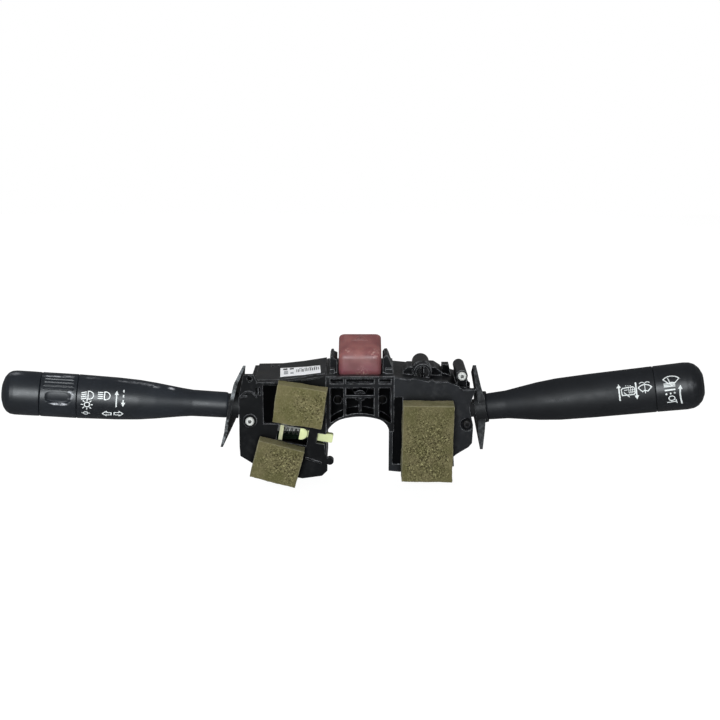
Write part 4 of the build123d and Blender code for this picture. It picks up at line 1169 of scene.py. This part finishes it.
def foam_grids(half):
    """Points and quads of a box's six faces, each a grid with a point every foam_step mm."""
    points, faces, count = [], [], 0
    for axis in range(3):
        u_axis, v_axis = (axis + 1) % 3, (axis + 2) % 3
        nu, nv = int(2 * half[u_axis] / foam_step), int(2 * half[v_axis] / foam_step)
        u, v = np.meshgrid(np.linspace(-1, 1, nu + 1), np.linspace(-1, 1, nv + 1), indexing="ij")
        here = np.arange(nu)[:, None] * (nv + 1) + np.arange(nv)[None, :]
        quads = np.stack([here, here + nv + 1, here + nv + 2, here + 1], -1).reshape(-1, 4)
        for sign in (-1, 1):
            p = np.zeros(u.shape + (3,))
            p[..., axis], p[..., u_axis], p[..., v_axis] = sign, u, v
            points.append(p.reshape(-1, 3) * half)
            faces.append(quads + count)
            count += u.size
    return np.vstack(points), np.vstack(faces).tolist()


def shaken(p, amount, size, seed):
    """Points moved by so many mm of lumps, each axis by the next seed."""
    return p + amount * np.stack([lumps(p, size, seed + k) for k in range(3)], -1)


def foam_block(name, node, tilt, coarse_at, seed):
    """A box of the pad's size (its node's box turned back by tilt), skinned by six grids, its
    corners rounded: inner + corner * unit(p - inner). Pores sink it, lumps swell it; coarse_at
    is the place (0..1 across and up) round which the pores are widest."""
    low, high = (np.array(corner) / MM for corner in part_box(node))
    span_x, deep, span_z = high - low
    c, s = math.cos(math.radians(tilt)), math.sin(math.radians(tilt))
    wide, tall = ((long * c - cross * s) / (c * c - s * s)
                  for long, cross in ((span_x, span_z), (span_z, span_x)))
    half = np.array([wide, deep, tall]) / 2
    p, faces = foam_grids(half)
    inner = np.clip(p, -(half - foam_corner), half - foam_corner)
    away = p - inner
    normal = away / (np.linalg.norm(away, axis=1)[:, None] + 1e-9)
    p = inner + foam_corner * normal

    off_x, off_z = (p[:, k] / half[k] / 2 + 0.5 - at for k, at in zip((0, 2), coarse_at))
    coarse = np.clip(1.30 - np.hypot(off_x, off_z) * 1.75 + 0.22 * lumps(p, 9.0, seed), 0.10, 1.0)
    rim = np.minimum(half[0] - np.abs(p[:, 0]), half[2] - np.abs(p[:, 2]))
    calm = np.clip((rim + 0.8 * lumps(p, 7.0, seed + 4)) / 3.0, 0.25, 1.0)
    coarse = coarse * calm
    small_at, big_at = shaken(p, 0.25, 1.6, seed + 7), shaken(p, 0.3, 2.2, seed + 10)
    small, _ = cell_distance(small_at, cell_mm, seed)
    big, own = cell_distance(big_at, coarse_cell_mm, seed + 5)
    pore = np.clip((0.50 - small) / 0.35, 0, 1) * 0.25 * calm * (0.35 + 0.65 * coarse)
    pore += np.clip((0.28 + 0.26 * own - big) / 0.22, 0, 1) * 0.75 * coarse
    web = np.clip((small - 0.52) / 0.2, 0, 1) * np.clip((big - 0.5) / 0.2, 0, 1)
    web = web * (0.15 + 0.85 * coarse)
    fibre = 0.10 * lumps(p, 1.3, seed + 2) * (0.4 + coarse)
    grow = 0.16 * lumps(p, 16.0, seed + 1) + 0.06 * lumps(p, 4.0, seed + 3) + fibre + 0.15 * web
    p = p + normal * (grow - pore - foam_shrink)[:, None]
    p[:, 1] = np.minimum(p[:, 1], half[1] - glue_gap)
    edge = np.clip((np.abs(p - inner) > 0.1).sum(1) - 1, 0, 1)

    turned = np.stack([p[:, 0] * c + p[:, 2] * s, p[:, 1], -p[:, 0] * s + p[:, 2] * c], -1)
    return closed_mesh(name, turned + (low + high) / 2, faces,
                       {"pore": pore, "web": web, "edge": edge}, weld=2e-6)


def foam_material(name, seed, tone):
    """Olive foam: painted shade darkens its pores, and the torn webs are pale, partly as a painted
    highlight; cut edges are pale and broad clouds dusty. Its base colour is multiplied by tone, as
    each block has aged and taken up grease by itself."""
    material, shader, tree = new_material(name)
    spot = add_node(tree, "TexCoord", {}).outputs["Object"]
    pore, web, edge = (add_node(tree, "Attribute", {}, attribute_name=key).outputs["Fac"]
                       for key in ("pore", "web", "edge"))
    cloud = clouds(tree, spot, 11.0, 4.0, 0.55, seed, 0.32, 0.68)
    dark, light = (tuple(c * tone for c in base) + (1,)
                   for base in ((0.082, 0.075, 0.030), (0.118, 0.102, 0.050)))
    skin = blended(tree, cloud, dark, light)
    torn = clouds(tree, spot, 1.3, 6.0, 0.8, seed + 1, 0.52, 0.68)
    # Painted shade in the pores.
    deep = spread(tree, pore, 0.06, 0.50)
    # The webs' pale layer is partly a painted highlight.
    skin = layered(tree, skin, (torn, 0.35, (0.30, 0.28, 0.145, 1)),
                   (web, 0.80, (0.32, 0.295, 0.145, 1)), (edge, 0.30, (0.26, 0.245, 0.17, 1)),
                   (deep, 0.72, (0.040, 0.034, 0.012, 1)))
    paint(tree, shader, {
        "Base Color": skin, "Roughness": 0.92, "Specular IOR Level": 0.15,
        "Sheen Weight": 0.10, "Sheen Roughness": 0.5, "Sheen Tint": (0.85, 0.82, 0.65, 1)})
    bumped(tree, shader, noise_of(tree, spot, 0.55, 6.0, 0.8, seed=seed + 2), 0.8, 0.16)
    return material


pads = (("left_pad_upper", "left_foam_upper", 9.0, (0.85, 0.5), 21, 1.22),
        ("left_pad_lower", "left_foam_lower", 15.0, (0.7, 0.6), 37, 1.02),
        ("right_pad", "right_foam", 0.8, (0.5, 0.42), 53, 0.97))
for name, node, tilt, coarse_at, seed, tone in pads:
    block = foam_block(name, node, tilt, coarse_at, seed)
    block.data.materials.append(foam_material(name.replace("pad", "foam"), seed / 10, tone))
    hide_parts(node)
    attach(block, "frame")
